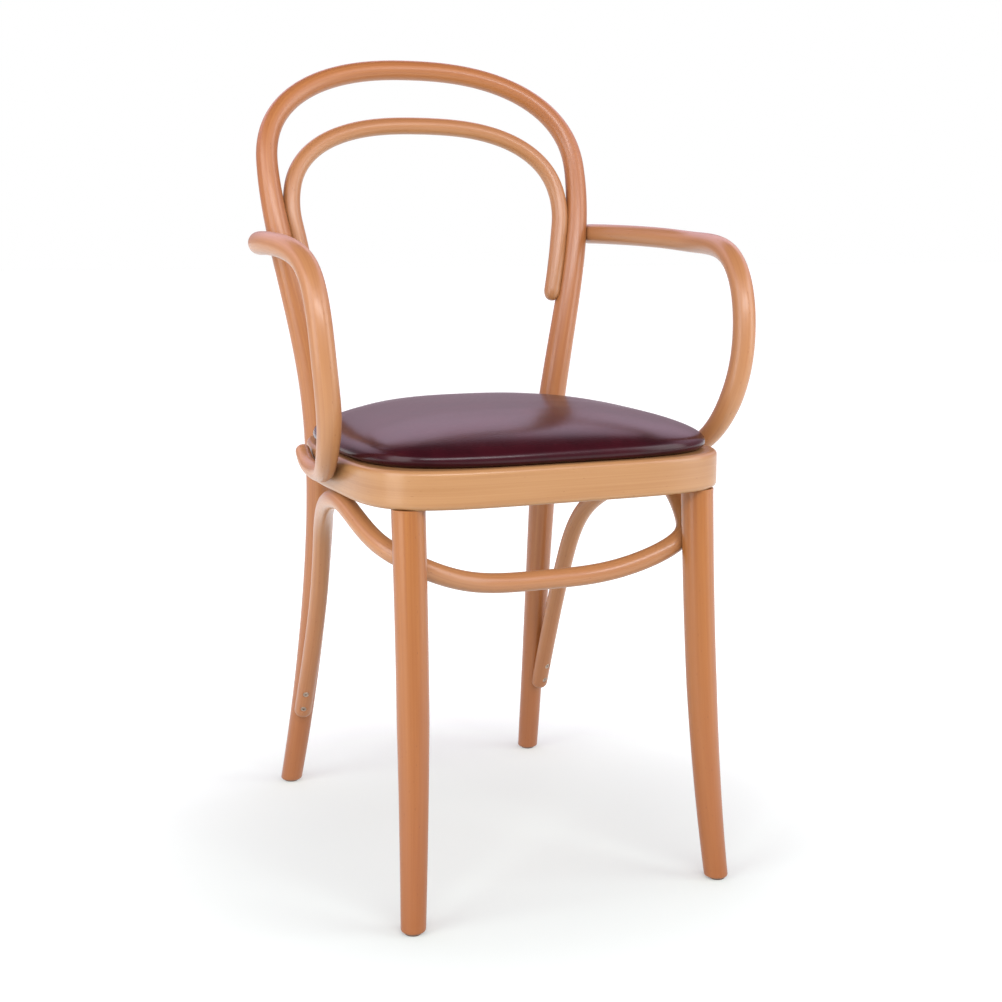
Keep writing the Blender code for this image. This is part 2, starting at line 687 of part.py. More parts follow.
def floor_block():
    shape = bmesh.new()
    bmesh.ops.create_cube(shape, size=FLOOR_BLOCK)
    bmesh.ops.translate(shape, verts=shape.verts, vec=(0.0, 0.0, GLIDE_HEIGHT - FLOOR_BLOCK / 2))
    mesh = bpy.data.meshes.new("floor_block")
    shape.to_mesh(mesh)
    shape.free()
    return mesh


def back_frame_mesh(name, grow):
    points = even_points(mirrored(ROD[::-1]), BACK_FRAME_STEPS)
    return rod_mesh(name, points, rod_radius(points[:, 2]) + grow, ROD_SIDES)


def front_leg_mesh(name, side, grow):
    """A front leg as a plain rod that runs past its tenon."""
    past = LEG[-1] + (0.0, 0.0, TENON_LENGTH + 2 * FOOT_ROUND)
    points = np.concatenate([LEG, [past]]) * side
    return rod_mesh(name, points, front_leg_radius(points[:, 2]) + grow, ROD_SIDES)


def arm_mesh(name, side):
    points = ARM * side
    along = np.linspace(0.0, 1.0, len(points))
    stations = (0.0, ARM_THICKENS_FROM, ARM_THINS_FROM, 1.0)
    radii = np.interp(along, stations, (ARM_RADIUS, ARM_RADIUS, ARM_LOOP_RADIUS, ARM_TIP_RADIUS))
    points, radii = rounded_start(*rounded_end(points, radii))
    return rod_mesh(name, points, radii, ROD_SIDES)


def brace_mesh(name):
    points, radii = rounded_start(*rounded_end(BRACE, np.full(len(BRACE), BRACE_RADIUS)))
    return rod_mesh(name, points, radii, THIN_ROD_SIDES)


def inner_bow_mesh(name):
    points, radii = rounded_start(*rounded_end(INNER_BOW, np.full(len(INNER_BOW), INNER_BOW_RADIUS)))
    return rod_mesh(name, points, radii, THIN_ROD_SIDES)


FLOOR = add_cutter("floor_cutter", floor_block())
ROD_SEAT = add_cutter("rod_cutter", back_frame_mesh("rod_cutter", CLEARANCE))
RING_SEAT = add_cutter("ring_cutter", ring_mesh("ring_cutter", CLEARANCE))
BACK_FRAME = add_part("back_frame", back_frame_mesh("back_frame", 0.0), BEECH)
stand_flat(BACK_FRAME)
INNER = add_part("inner_bow", inner_bow_mesh("inner_bow"), BEECH)
cut(INNER, ROD_SEAT)
RING = add_part("seat_ring", ring_mesh("seat_ring", 0.0), BEECH)
cut(RING, ROD_SEAT)
BRACE_PART = add_part("leg_brace", brace_mesh("leg_brace"), BEECH)
cut(BRACE_PART, ROD_SEAT)
LEGS = {}
ARMS = {}
for side_name, side_sign in SIDES.items():
    LEGS[side_name] = add_part(
        f"front_leg_{side_name}", front_leg_mesh(f"front_leg_{side_name}", side_sign, 0.0), BEECH)
    stand_flat(LEGS[side_name])
    leg_seat = f"front_leg_cutter_{side_name}"
    cut(BRACE_PART, add_cutter(leg_seat, front_leg_mesh(leg_seat, side_sign, CLEARANCE)))
    ARMS[side_name] = add_part(f"arm_{side_name}", arm_mesh(f"arm_{side_name}", side_sign), BEECH)
    cut(ARMS[side_name], ROD_SEAT)
    cut(ARMS[side_name], RING_SEAT)


# Seat pad

PAD_BASE = SEAT_HEIGHT + CLEARANCE
BOARD_UNDERSIDE = PAD_BASE + LEATHER + CLEARANCE
BOARD_TOP = BOARD_UNDERSIDE + BOARD_THICKNESS
PAD_CENTRE = np.array((0.0, SEAT_WIDEST + (SEAT_BACK + SEAT_FRONT - 2 * SEAT_WIDEST) / 4))
DOME_RINGS = (0.985, 0.95, 0.88, 0.74, 0.52, 0.27)


def pad_outline(inset):
    return seat_outline(inset, PAD_POINTS, (PAD_FRONT_SQUARENESS, PAD_BACK_SQUARENESS))


def level_ring(inset, height):
    return [(x, y, height) for x, y in pad_outline(inset)]


def dome_rings(within):
    """Rings of the pad's crown, and its top, a distance within the leather's outer face."""
    side = pad_outline(PAD_EDGE_INSET - PAD_BULGE + within)
    base = PAD_BASE + PAD_BULGE_HEIGHT - within
    crown = PAD_CROWN - PAD_BULGE_HEIGHT
    rings = []
    for share in DOME_RINGS:
        ring = PAD_CENTRE + share * (side - PAD_CENTRE)
        height = base + crown * math.sqrt(1.0 - share ** PAD_DOME_SQUARENESS)
        rings.append([(x, y, height) for x, y in ring])
    return rings, (*PAD_CENTRE, base + crown)


def cover_mesh(name):
    """The leather's outer face, from its hem under the board, round the side and over the crown."""
    rings = [
        level_ring(PAD_EDGE_INSET + HEM_WIDTH, PAD_BASE),
        level_ring(PAD_EDGE_INSET + LEATHER, PAD_BASE),
        level_ring(PAD_EDGE_INSET, PAD_BASE + LEATHER),
        level_ring(PAD_EDGE_INSET - PAD_SIDE_FULLNESS * PAD_BULGE, PAD_BASE + PAD_BULGE_HEIGHT / 2),
        level_ring(PAD_EDGE_INSET - PAD_BULGE, PAD_BASE + PAD_BULGE_HEIGHT),
    ]
    dome, top = dome_rings(0.0)
    return lofted(name, rings + dome, top, None)


def foam_mesh(name):
    """The filling: its sides follow the leather from within, and it lies on the board."""
    within = LEATHER + 2 * CLEARANCE
    base = BOARD_TOP + CLEARANCE
    dome, top = dome_rings(within)
    rings = [level_ring(PAD_EDGE_INSET - PAD_BULGE + within, base)]
    return lofted(name, rings + dome, top, (*PAD_CENTRE, base))


COVER = add_part("seat_cover", cover_mesh("seat_cover"), HIDE)
HIDE_WALL = COVER.modifiers.new("leather", "SOLIDIFY")
HIDE_WALL.thickness = LEATHER
HIDE_WALL.offset = -1.0
HIDE_WALL.use_even_offset = True
add_part("seat_foam", foam_mesh("seat_foam"), FOAM)
BOARD = add_part("seat_board", plate_mesh("seat_board", pad_outline(BOARD_INSET), BOARD_THICKNESS), PLYWOOD)
BOARD.location = (0.0, 0.0, BOARD_UNDERSIDE + BOARD_THICKNESS / 2)


# Fasteners and feet

def add_turned(name, profile, sides, finish, place, way):
    piece = add_part(name, turned_mesh(name, profile), finish)
    turn(piece, sides)
    aim(piece, place, way)
    return piece


def drill(name, profile, sides, place, way, parts):
    """Opens each part for a turned piece."""
    hole = add_cutter(name + "_hole", turned_mesh(name + "_hole", profile))
    turn(hole, sides)
    aim(hole, place, way)
    for part in parts:
        cut(part, hole)


def screw(name, length, place, way, parts, well=SCREW_WELL):
    """A countersunk screw, its head at a place, driven along a way through parts, with a well above it."""
    cone = SCREW_HEAD_RADIUS - SCREW_RADIUS
    profile = (
        (0.0, -SCREW_RECESS_DEPTH), (SCREW_RECESS_RADIUS, -SCREW_RECESS_DEPTH), (SCREW_RECESS_RADIUS, 0.0),
        (SCREW_HEAD_RADIUS, 0.0), (SCREW_RADIUS, -cone), (SCREW_RADIUS, SCREW_POINT - length),
        (0.0, -length))
    wide = SCREW_HEAD_RADIUS + CLEARANCE
    slim = SCREW_RADIUS + CLEARANCE
    deep = -length - CLEARANCE
    hole = ((0.0, well), (wide, well), (wide, 0.0), (slim, -cone), (slim, deep), (0.0, deep))
    add_turned(name, profile, SCREW_SIDES, STEEL, place, way)
    drill(name, hole, SCREW_SIDES, place, way, parts)


def glide(name, place, leg):
    """A nailed glide under a foot."""
    top = GLIDE_HEIGHT - CLEARANCE
    profile = (
        (0.0, GLIDE_HEIGHT + GLIDE_PIN_LENGTH), (GLIDE_PIN_RADIUS, GLIDE_HEIGHT + GLIDE_PIN_LENGTH),
        (GLIDE_PIN_RADIUS, top), (GLIDE_RADIUS, top), (GLIDE_RADIUS, 0.0), (0.0, 0.0))
    pin = GLIDE_PIN_RADIUS + CLEARANCE
    reach = GLIDE_HEIGHT + GLIDE_PIN_LENGTH + CLEARANCE
    down = (0.0, 0.0, -1.0)
    add_turned(name, profile, GLIDE_SIDES, NYLON, place, down)
    hole = ((0.0, reach), (pin, reach), (pin, -GLIDE_HEIGHT), (0.0, -GLIDE_HEIGHT))
    drill(name, hole, GLIDE_SIDES, place, down, [leg])


def seat_bolt(side_name, side):
    """A bolt and its washer inside the ring, driven out into the rear rod."""
    rod = at_height(UPRIGHT, RING_MIDDLE)
    wall = nearest(seat_outline(0.0, OUTLINE_FINE), rod[:2])
    out = unit(rod[:2] - wall)
    way = np.array((*out, 0.0)) * side
    seat = np.array((*(wall - out * (RING_WALL - SPOT_FACE)), RING_MIDDLE)) * side
    length = RING_WALL - SPOT_FACE + BOLT_INTO_ROD
    stack = WASHER_THICKNESS + 2 * CLEARANCE
    head = stack + BOLT_HEAD_HEIGHT
    profile = (
        (0.0, head), (BOLT_HEAD_RADIUS, head), (BOLT_HEAD_RADIUS, stack),
        (BOLT_RADIUS, stack), (BOLT_RADIUS, -length), (0.0, -length))
    add_turned(f"seat_bolt_{side_name}", profile, BOLT_SIDES, STEEL, seat, way)
    slim = BOLT_RADIUS + CLEARANCE
    wide = WASHER_RADIUS + CLEARANCE
    well = head + SPOT_FACE
    deep = -length - CLEARANCE
    hole = ((0.0, well), (wide, well), (wide, 0.0), (slim, 0.0), (slim, deep), (0.0, deep))
    drill(f"seat_bolt_{side_name}", hole, BOLT_SIDES * 2, seat, way, [RING, BACK_FRAME])
    upper = stack - CLEARANCE
    washer = (
        (slim, upper), (WASHER_RADIUS, upper), (WASHER_RADIUS, CLEARANCE), (slim, CLEARANCE), (slim, upper))
    add_turned(f"seat_washer_{side_name}", washer, BOLT_SIDES * 2, STEEL, seat, way)


def brace_screws(side_name, side):
    """Two screws at the brace's end, one at the front leg and one under the ring."""
    run = np.linspace(0.0, 1.0, BRACE_FINE)
    half = BRACE[len(BRACE) // 2:]
    at = np.linspace(0.0, 1.0, len(half))
    fine = np.stack([np.interp(run, at, half[:, axis]) for axis in range(3)], axis=1)
    to_end = np.linalg.norm(fine - fine[-1], axis=1)
    for number in (1, 2):
        reach = BRACE_END_SCREW_FROM_TIP + (2 - number) * BRACE_END_SCREW_PITCH
        place = fine[np.argmin(np.abs(to_end - reach))]
        way = unit(nearest(ROD, place) - place)
        head = place - way * (BRACE_RADIUS - SCREW_SINK)
        screw(f"brace_end_screw_{side_name}_{number}", BRACE_END_SCREW_LENGTH, head * side, way * side,
              [BRACE_PART, BACK_FRAME])
    front = fine[fine[:, 1] < BRACE_CORNER]
    spread = np.linalg.norm(front[:, None] - LEG[None], axis=2).min(axis=1)
    place = front[np.argmin(spread)]
    way = unit(at_height(LEG, place[2]) - place)
    head = place - way * (BRACE_RADIUS - SCREW_SINK)
    screw(f"brace_leg_screw_{side_name}", BRACE_LEG_SCREW_LENGTH, head * side, way * side,
          [BRACE_PART, LEGS[side_name]])
    place = fine[np.argmax(fine[:, 2])]
    head = place - np.array((0.0, 0.0, BRACE_RADIUS - SCREW_SINK))
    screw(f"brace_ring_screw_{side_name}", BRACE_RING_SCREW_LENGTH, head * side, (0.0, 0.0, 1.0),
          [BRACE_PART, RING])


def bow_screws(side_name, side):
    """A screw through the inner bow and the rod into the arm, and one from behind at the inner bow's end."""
    half = INNER_BOW[INNER_BOW[:, 0] >= 0.0]
    rod = at_height(UPRIGHT, ARM_HEIGHT)
    way = np.array((math.cos(ARM_BOW_SCREW_TURN), -math.sin(ARM_BOW_SCREW_TURN), 0.0))
    beside = rod - at_height(half, ARM_HEIGHT)
    beside[2] = 0.0
    along = float(beside @ way)
    off = float(np.linalg.norm(beside - along * way))
    head = rod - way * (along + math.sqrt(INNER_BOW_RADIUS ** 2 - off ** 2) - SCREW_SINK)
    screw(f"arm_bow_screw_{side_name}", ARM_BOW_SCREW_LENGTH, head * side, way * side,
          [INNER, BACK_FRAME, ARMS[side_name]])
    place = at_height(half, INNER_BOW_END_HEIGHT + INNER_BOW_SCREW_FROM_END)
    across = unit(nearest(ROD, place) - place)
    way = np.array(Matrix.Rotation(-INNER_BOW_SCREW_TURN, 3, "Z") @ Vector(across))
    chord = 2 * INNER_BOW_RADIUS * math.cos(INNER_BOW_SCREW_TURN)
    head = place + across * INNER_BOW_RADIUS - way * (chord - SCREW_SINK)
    screw(f"inner_bow_screw_{side_name}", INNER_BOW_SCREW_LENGTH, head * side, way * side,
          [INNER, BACK_FRAME])


def ring_screws(side_name, side):
    """Two screws out of the ring into the arm, and two up through the ring into the seat board."""
    for number, depth in ((1, ARM_SEAT_FRONT), (2, ARM_SEAT_BACK)):
        wall, out = seat_side(depth, 0.0)
        inside = wall - out * (RING_WALL - SCREW_SINK)
        height = ARM[np.argmin(np.linalg.norm(ARM[:, :2] - wall, axis=1) + (ARM[:, 2] > ARM_LOOP_HEIGHT)), 2]
        head = np.array((*inside, height))
        way = np.array((*out, 0.0))
        screw(f"arm_ring_screw_{side_name}_{number}", ARM_RING_SCREW_LENGTH, head * side, way * side,
              [RING, ARMS[side_name]])
    for number, depth in ((1, SEAT_SCREW_FRONT), (2, SEAT_SCREW_REAR)):
        place, _ = seat_side(depth, SEAT_SCREW_INSET)
        head = np.array((*place, RING_UNDERSIDE + SEAT_SCREW_HEAD_DEPTH))
        screw(f"seat_screw_{side_name}_{number}", SEAT_SCREW_LENGTH, head * side, (0.0, 0.0, 1.0),
              [RING, BOARD], well=2 * SEAT_SCREW_HEAD_DEPTH)


def tenon_joint(side_name, side):
    """Turns the tenon on a front leg and opens its blind socket in the ring."""
    up = (0.0, 0.0, -1.0)
    clear = 2 * FRONT_LEG_TOP_RADIUS
    past = TENON_LENGTH + clear
    waste = (
        (0.0, past), (clear, past), (clear, 0.0),
        (TENON_RADIUS, 0.0), (TENON_RADIUS, TENON_LENGTH), (0.0, TENON_LENGTH))
    drill(f"tenon_{side_name}", waste, ROD_SIDES, LEG[-1] * side, up, [LEGS[side_name]])
    wide = TENON_RADIUS + CLEARANCE
    reach = TENON_LENGTH + CLEARANCE
    socket = ((0.0, reach), (wide, reach), (wide, -TENON_LENGTH / 2), (0.0, -TENON_LENGTH / 2))
    drill(f"socket_{side_name}", socket, ROD_SIDES, LEG[-1] * side, up, [RING])


for side_name, side_sign in SIDES.items():
    tenon_joint(side_name, side_sign)
    seat_bolt(side_name, side_sign)
    brace_screws(side_name, side_sign)
    bow_screws(side_name, side_sign)
    ring_screws(side_name, side_sign)
    for foot_name, line, leg_part in (("front", LEG, LEGS[side_name]), ("rear", UPRIGHT, BACK_FRAME)):
        foot = at_height(line, GLIDE_HEIGHT) * (1.0, 1.0, 0.0)
        glide(f"foot_glide_{foot_name}_{side_name}", foot * side_sign, leg_part)

bpy.context.view_layer.update()
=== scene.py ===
"""Dresses a packed bentwood armchair: beech, a leather pad, steel fixings, nylon glides and a pale studio.

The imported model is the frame, in metres, with the chair facing -Y and standing at z = 0. Each bent piece is
swept again along its own centre line, fine enough to read as turned and steam-bent wood, and is then cut
where it is let into its neighbour or drilled for a screw. The leather is pulled over its pad by a cloth
simulation.
"""

import logging
import math
from collections.abc import Iterator
from contextlib import contextmanager
from dataclasses import dataclass, field
from enum import Enum

import bmesh
import bpy
import numpy as np
from bpy.types import Material, Mesh, Node, NodeSocket, NodeTree, Object
from mathutils import Matrix, Vector, noise


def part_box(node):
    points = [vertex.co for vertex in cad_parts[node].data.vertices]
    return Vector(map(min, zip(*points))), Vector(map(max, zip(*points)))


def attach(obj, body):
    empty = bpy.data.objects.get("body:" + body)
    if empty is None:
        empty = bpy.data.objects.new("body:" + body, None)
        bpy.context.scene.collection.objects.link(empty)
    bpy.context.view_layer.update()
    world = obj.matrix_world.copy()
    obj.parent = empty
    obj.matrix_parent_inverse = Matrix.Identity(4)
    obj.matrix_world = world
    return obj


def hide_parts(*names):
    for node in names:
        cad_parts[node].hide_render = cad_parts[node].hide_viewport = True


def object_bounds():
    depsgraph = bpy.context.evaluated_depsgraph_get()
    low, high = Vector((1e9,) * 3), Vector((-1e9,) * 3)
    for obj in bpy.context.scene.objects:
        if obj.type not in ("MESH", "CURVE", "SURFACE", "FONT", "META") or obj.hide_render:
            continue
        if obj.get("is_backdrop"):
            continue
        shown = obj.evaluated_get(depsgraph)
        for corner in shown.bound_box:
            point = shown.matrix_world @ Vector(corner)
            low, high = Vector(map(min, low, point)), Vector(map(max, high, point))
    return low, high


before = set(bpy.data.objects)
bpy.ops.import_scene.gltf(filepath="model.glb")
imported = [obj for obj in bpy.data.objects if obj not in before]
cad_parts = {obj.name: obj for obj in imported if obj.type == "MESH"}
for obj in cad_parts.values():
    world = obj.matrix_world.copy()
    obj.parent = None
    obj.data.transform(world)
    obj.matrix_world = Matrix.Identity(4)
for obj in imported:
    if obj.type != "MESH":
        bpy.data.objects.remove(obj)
CAD_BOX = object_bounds()

Pair = tuple[float, float]
Triple = tuple[float, float, float]
Values = tuple[tuple[str, float], ...]

LOG = logging.getLogger("armchair")
BODY = "root"
QUARTER_TURN = math.pi / 2

# Distances in metres: the gap between pieces that touch, and the lengths below which points and edges merge
CLEARANCE = 0.0003
MERGE = 1e-6
SLIVER = 2e-6

# How finely lines are worked out before they are divided into equal steps
PATH_FINE = 70
LINE_FINE = 500
QUARTER_FINE = 900
HALF_FINE = 1600
OUTLINE_FINE = 2400
HALVINGS = 50

# A path between knots eases by this power of their distance
PATH_EASE = 0.75

# How noses and feet are rounded, and the angle from which an edge looks sharp
NOSE_STEPS = 12
NOSE_TURN = math.radians(86.0)
NOSE_FULLNESS = 0.9
FOOT_STEPS = 7
SMOOTH_ANGLE = math.radians(38.0)

# The attribute that holds where each point lay in the straight stick
GRAIN = "unbent"

# Node settings: an eased range, the colour mix's sockets, and where nearly all values of a noise lie
EASED = {"interpolation_type": "SMOOTHSTEP"}
MIX_SHARE, MIX_FROM, MIX_TO, MIX_RESULT = 0, 6, 7, 2
NOISE_LOW, NOISE_HIGH = 0.3, 0.7


# Names and numbers

class Side(Enum):
    """The chair's two sides, as seen from the front."""

    RIGHT = 1.0
    LEFT = -1.0

    @property
    def word(self) -> str:
        """This side's word in the names of pieces."""
        return self.name.lower()

    def place(self, points: np.ndarray) -> np.ndarray:
        """Points of the right side, moved to this side."""
        return np.asarray(points, float) * (self.value, 1.0, 1.0)


class Slot(Enum):
    """Names of the record's material slots, which the new pieces are handed with but not given."""

    BEECH = "beech"
    LEATHER = "leather"
    STEEL = "steel"
    NYLON = "nylon"


def linear(colour: str) -> tuple[float, float, float, float]:
    """Turns an sRGB hex colour to linear light, by the curve and numbers of the sRGB standard.

    Args:
        colour: six hex digits after a hash sign.

    Returns:
        Red, green, blue and an alpha of one.
    """
    parts = [int(colour[i:i + 2], 16) / 255.0 for i in (1, 3, 5)]
    light = [part / 12.92 if part <= 0.04045 else ((part + 0.055) / 1.055) ** 2.4 for part in parts]
    return (*light, 1.0)


def feed(tree: NodeTree, node: Node, inputs: dict) -> None:
    """Sets or links a node's inputs.

    Args:
        tree: the tree that holds the node.
        node: the node.
        inputs: for each input's name or number, a value or the output that feeds it.
    """
    for socket, value in inputs.items():
        if isinstance(value, NodeSocket):
            tree.links.new(value, node.inputs[socket])
        else:
            node.inputs[socket].default_value = value


def add_node(tree: NodeTree, kind: str, settings: dict | None = None, inputs: dict | None = None) -> Node:
    """Adds a node with its settings and links.

    Args:
        tree: the tree that takes the node.
        kind: the node's type.
        settings: values for the node itself, where "stops" fills a colour ramp with (place, colour) pairs.
        inputs: for each input's name or number, a value or the output that feeds it.

    Returns:
        The new node.
    """
    node = tree.nodes.new(kind)
    for name, value in (settings or {}).items():
        if name == "stops":
            while len(node.color_ramp.elements) < len(value):
                node.color_ramp.elements.new(1.0)
            for element, (place, colour) in zip(node.color_ramp.elements, value):
                element.position = place
                element.color = linear(colour)
        else:
            setattr(node, name, value)
    feed(tree, node, inputs or {})
    return node


# Lines

def even_points(line: np.ndarray, count: int) -> np.ndarray:
    """Points at equal steps along a polyline.

    Args:
        line: the polyline's points.
        count: how many points to give.

    Returns:
        The points, from the first to the last of the line.
    """
    line = np.asarray(line, float)
    length = np.concatenate([[0.0], np.cumsum(np.linalg.norm(np.diff(line, axis=0), axis=1))])
    at = np.linspace(0.0, length[-1], count)
    return np.stack([np.interp(at, length, line[:, axis]) for axis in range(line.shape[1])], axis=1)


def smooth_path(knots: list, count: int) -> np.ndarray:
    """Equal steps along a natural cubic curve.

    Args:
        knots: the points that the curve passes.
        count: how many points to give.

    Returns:
        The points along the curve.
    """
    knots = np.array(knots, float)
    last = len(knots) - 1
    gap = np.linalg.norm(np.diff(knots, axis=0), axis=1) ** PATH_EASE
    system = np.eye(last + 1)
    pull = np.zeros_like(knots)
    for i in range(1, last):
        system[i, i - 1:i + 2] = gap[i - 1], 2 * (gap[i - 1] + gap[i]), gap[i]
        pull[i] = 6 * ((knots[i + 1] - knots[i]) / gap[i] - (knots[i] - knots[i - 1]) / gap[i - 1])
    bend = np.linalg.solve(system, pull)
    dense = [knots[0]]
    for i in range(last):
        for t in np.linspace(0.0, gap[i], PATH_FINE)[1:]:
            s = gap[i] - t
            point = (bend[i] * s ** 3 + bend[i + 1] * t ** 3) / (6 * gap[i])
            point = point + (knots[i] / gap[i] - bend[i] * gap[i] / 6) * s
            dense.append(point + (knots[i + 1] / gap[i] - bend[i + 1] * gap[i] / 6) * t)
    return even_points(dense, count)


def superellipse(turn: float, across: float, along: float, squareness: float) -> Pair:
    """A point of a superellipse's quarter.

    Args:
        turn: the angle from the first axis.
        across: reach on the first axis.
        along: reach on the second axis.
        squareness: the exponent, 2 for an ellipse.

    Returns:
        The distances on the two axes.
    """
    return across * np.cos(turn) ** (2 / squareness), along * np.sin(turn) ** (2 / squareness)


def at_height(line: np.ndarray, height: float) -> np.ndarray:
    """The point of a rising line at a height."""
    return np.array([np.interp(height, line[:, 2], line[:, axis]) for axis in range(3)])


def mirrored(half: np.ndarray) -> np.ndarray:
    """A whole line from its right half, which starts at the middle."""
    half = np.array(half, float)
    return np.concatenate([(half * (-1.0, 1.0, 1.0))[:0:-1], half])


@dataclass
class Bend:
    """A bent rod: its centre line, its radius at each point, and how far its section there lies level."""

    points: np.ndarray
    radii: np.ndarray
    level: np.ndarray | None = None

    def __post_init__(self) -> None:
        """Sets every section square to the line unless told otherwise."""
        if self.level is None:
            self.level = np.zeros(len(self.points))

    def turned_round(self) -> "Bend":
        """The same rod from its other end."""
        return Bend(self.points[::-1], self.radii[::-1], self.level[::-1])

    def on(self, side: Side) -> "Bend":
        """The same rod on a side of the chair."""
        return Bend(side.place(self.points), self.radii, self.level)

    def grown(self, by: float) -> "Bend":
        """A thicker rod on the same line, to cut a seat for this one."""
        return Bend(self.points, self.radii + by, self.level)

    def rounded(self, nose: float = 0.9) -> "Bend":
        """Rounds the rod's last end.

        Args:
            nose: length of the rounded nose, as a share of the rod's radius.

        Returns:
            The rod with its nose.
        """
        way = self.points[-1] - self.points[-2]
        way = way / np.linalg.norm(way)
        turns = np.linspace(0.0, NOSE_TURN, NOSE_STEPS + 1)[1:]
        reach = self.radii[-1] * nose * np.sin(turns)
        points = np.concatenate([self.points, self.points[-1] + reach[:, None] * way])
        radii = np.concatenate([self.radii, self.radii[-1] * np.cos(turns) ** NOSE_FULLNESS])
        return Bend(points, radii, np.concatenate([self.level, np.zeros(NOSE_STEPS)]))

    def planted(self, floor: float, rounding: float, run: float) -> "Bend":
        """This rod with its first end cut level and its edge rounded.

        Args:
            floor: height of the level cut.
            rounding: radius of the rounded edge.
            run: how far up the sections turn from level to square.

        Returns:
            The rod from its foot upward.
        """
        turns = np.linspace(QUARTER_TURN, 0.0, FOOT_STEPS)
        heights = floor + rounding * (1.0 - np.sin(turns))
        foot = np.array([at_height(self.points, height) for height in heights])
        thick = np.interp(heights, self.points[:, 2], self.radii) - rounding * (1.0 - np.cos(turns))
        above = self.points[:, 2] > heights[-1] + rounding / 2
        level = np.clip(1.0 - (self.points[above, 2] - heights[-1]) / run, self.level[above], 1.0)
        points = np.concatenate([foot, self.points[above]])
        radii = np.concatenate([thick, self.radii[above]])
        return Bend(points, radii, np.concatenate([np.ones(FOOT_STEPS), level]))


# Meshes

def add_object(name: str, mesh: Mesh) -> Object:
    """Links a mesh into the scene.

    Args:
        name: the object's name.
        mesh: its mesh.

    Returns:
        The object, at the origin.
    """
    thing = bpy.data.objects.new(name, mesh)
    bpy.context.scene.collection.objects.link(thing)
    return thing


def line_object(name: str, points: np.ndarray, closed: bool = False,
                values: dict[str, np.ndarray] | None = None) -> Object:
    """A line of points joined by edges.

    Args:
        name: the object's name.
        points: the line's points.
        closed: whether the last point joins the first.
        values: a number or a vector for each point, by name.

    Returns:
        The object.
    """
    count = len(points)
    mesh = bpy.data.meshes.new(name)
    edges = [(i, (i + 1) % count) for i in range(count if closed else count - 1)]
    mesh.from_pydata([tuple(point) for point in points], edges, [])
    for key, numbers in (values or {}).items():
        vector = np.ndim(numbers) == 2
        layer = mesh.attributes.new(key, "FLOAT_VECTOR" if vector else "FLOAT", "POINT")
        layer.data.foreach_set("vector" if vector else "value", np.asarray(numbers, float).ravel())
    return add_object(name, mesh)


def plain_mesh(thing: Object) -> Mesh:
    """Takes an object's modifiers into a plain mesh.

    Args:
        thing: the object, which keeps no modifier.

    Returns:
        The mesh that the modifiers make.
    """
    bpy.context.view_layer.update()
    graph = bpy.context.evaluated_depsgraph_get()
    mesh = bpy.data.meshes.new_from_object(thing.evaluated_get(graph), preserve_all_data_layers=True,
                                           depsgraph=graph)
    thing.modifiers.clear()
    return mesh


@contextmanager
def edited(mesh: Mesh) -> Iterator[bmesh.types.BMesh]:
    """Opens a mesh for an edit and writes it back after.

    Args:
        mesh: the mesh, which may be empty.

    Returns:
        The open mesh.
    """
    shape = bmesh.new()
    shape.from_mesh(mesh)
    yield shape
    shape.to_mesh(mesh)
    shape.free()


def shaded(mesh: Mesh) -> Mesh:
    """Shades a mesh smooth between its edges, with its faces turned outward.

    Args:
        mesh: a closed mesh.

    Returns:
        The same mesh.
    """
    with edited(mesh) as shape:
        bmesh.ops.recalc_face_normals(shape, faces=shape.faces)
    mesh.shade_smooth()
    mesh.set_sharp_from_angle(angle=SMOOTH_ANGLE)
    return mesh


def clean(mesh: Mesh) -> None:
    """Clears a cut mesh of slivers and of flaps, which are two faces on the same corners.

    Args:
        mesh: the mesh as it came from the cut.
    """
    with edited(mesh) as shape:
        bmesh.ops.triangulate(shape, faces=shape.faces)
        bmesh.ops.remove_doubles(shape, verts=shape.verts, dist=SLIVER)
        bmesh.ops.dissolve_degenerate(shape, dist=SLIVER, edges=shape.edges)
        seen: dict[frozenset[bmesh.types.BMVert], bmesh.types.BMFace] = {}
        flaps: list[bmesh.types.BMFace] = []
        for face in shape.faces:
            twin = seen.setdefault(frozenset(face.verts), face)
            if twin is not face:
                flaps += [face, twin]
        bmesh.ops.delete(shape, geom=flaps, context="FACES")


def combine(piece: Object, others: list[Object], operation: str) -> None:
    """Joins closed shapes to a closed piece, or takes them out of it.

    Args:
        piece: the piece.
        others: the shapes.
        operation: UNION or DIFFERENCE.
    """
    for other in others:
        modifier = piece.modifiers.new(other.name, "BOOLEAN")
        modifier.operation = operation
        modifier.solver = "MANIFOLD"
        modifier.object = other
    piece.data = plain_mesh(piece)


def carve(piece: Object, cutters: list[Object]) -> None:
    """Cuts a piece with closed cutters and leaves it clean."""
    combine(piece, cutters, "DIFFERENCE")
    clean(piece.data)


def discard(things: list[Object]) -> None:
    """Removes objects that only helped to make others."""
    for thing in things:
        bpy.data.objects.remove(thing, do_unlink=True)


def turned(name: str, profile: list[Pair], sides: int) -> Object:
    """A turned solid.

    Args:
        name: the object's name.
        profile: its half outline as radius and height, from one end of its axis to the other.
        sides: how many sides the turning has.

    Returns:
        The solid, on the z axis.
    """
    mesh = bpy.data.meshes.new(name)
    with edited(mesh) as shape:
        points = [shape.verts.new((radius, 0.0, height)) for radius, height in profile]
        edges = [shape.edges.new(pair) for pair in zip(points, points[1:])]
        bmesh.ops.spin(shape, geom=points + edges, axis=(0.0, 0.0, 1.0), cent=(0.0, 0.0, 0.0),
                       angle=2 * math.pi, steps=sides, use_merge=True)
        bmesh.ops.remove_doubles(shape, verts=shape.verts, dist=MERGE)
        bmesh.ops.recalc_face_normals(shape, faces=shape.faces)
    return add_object(name, mesh)


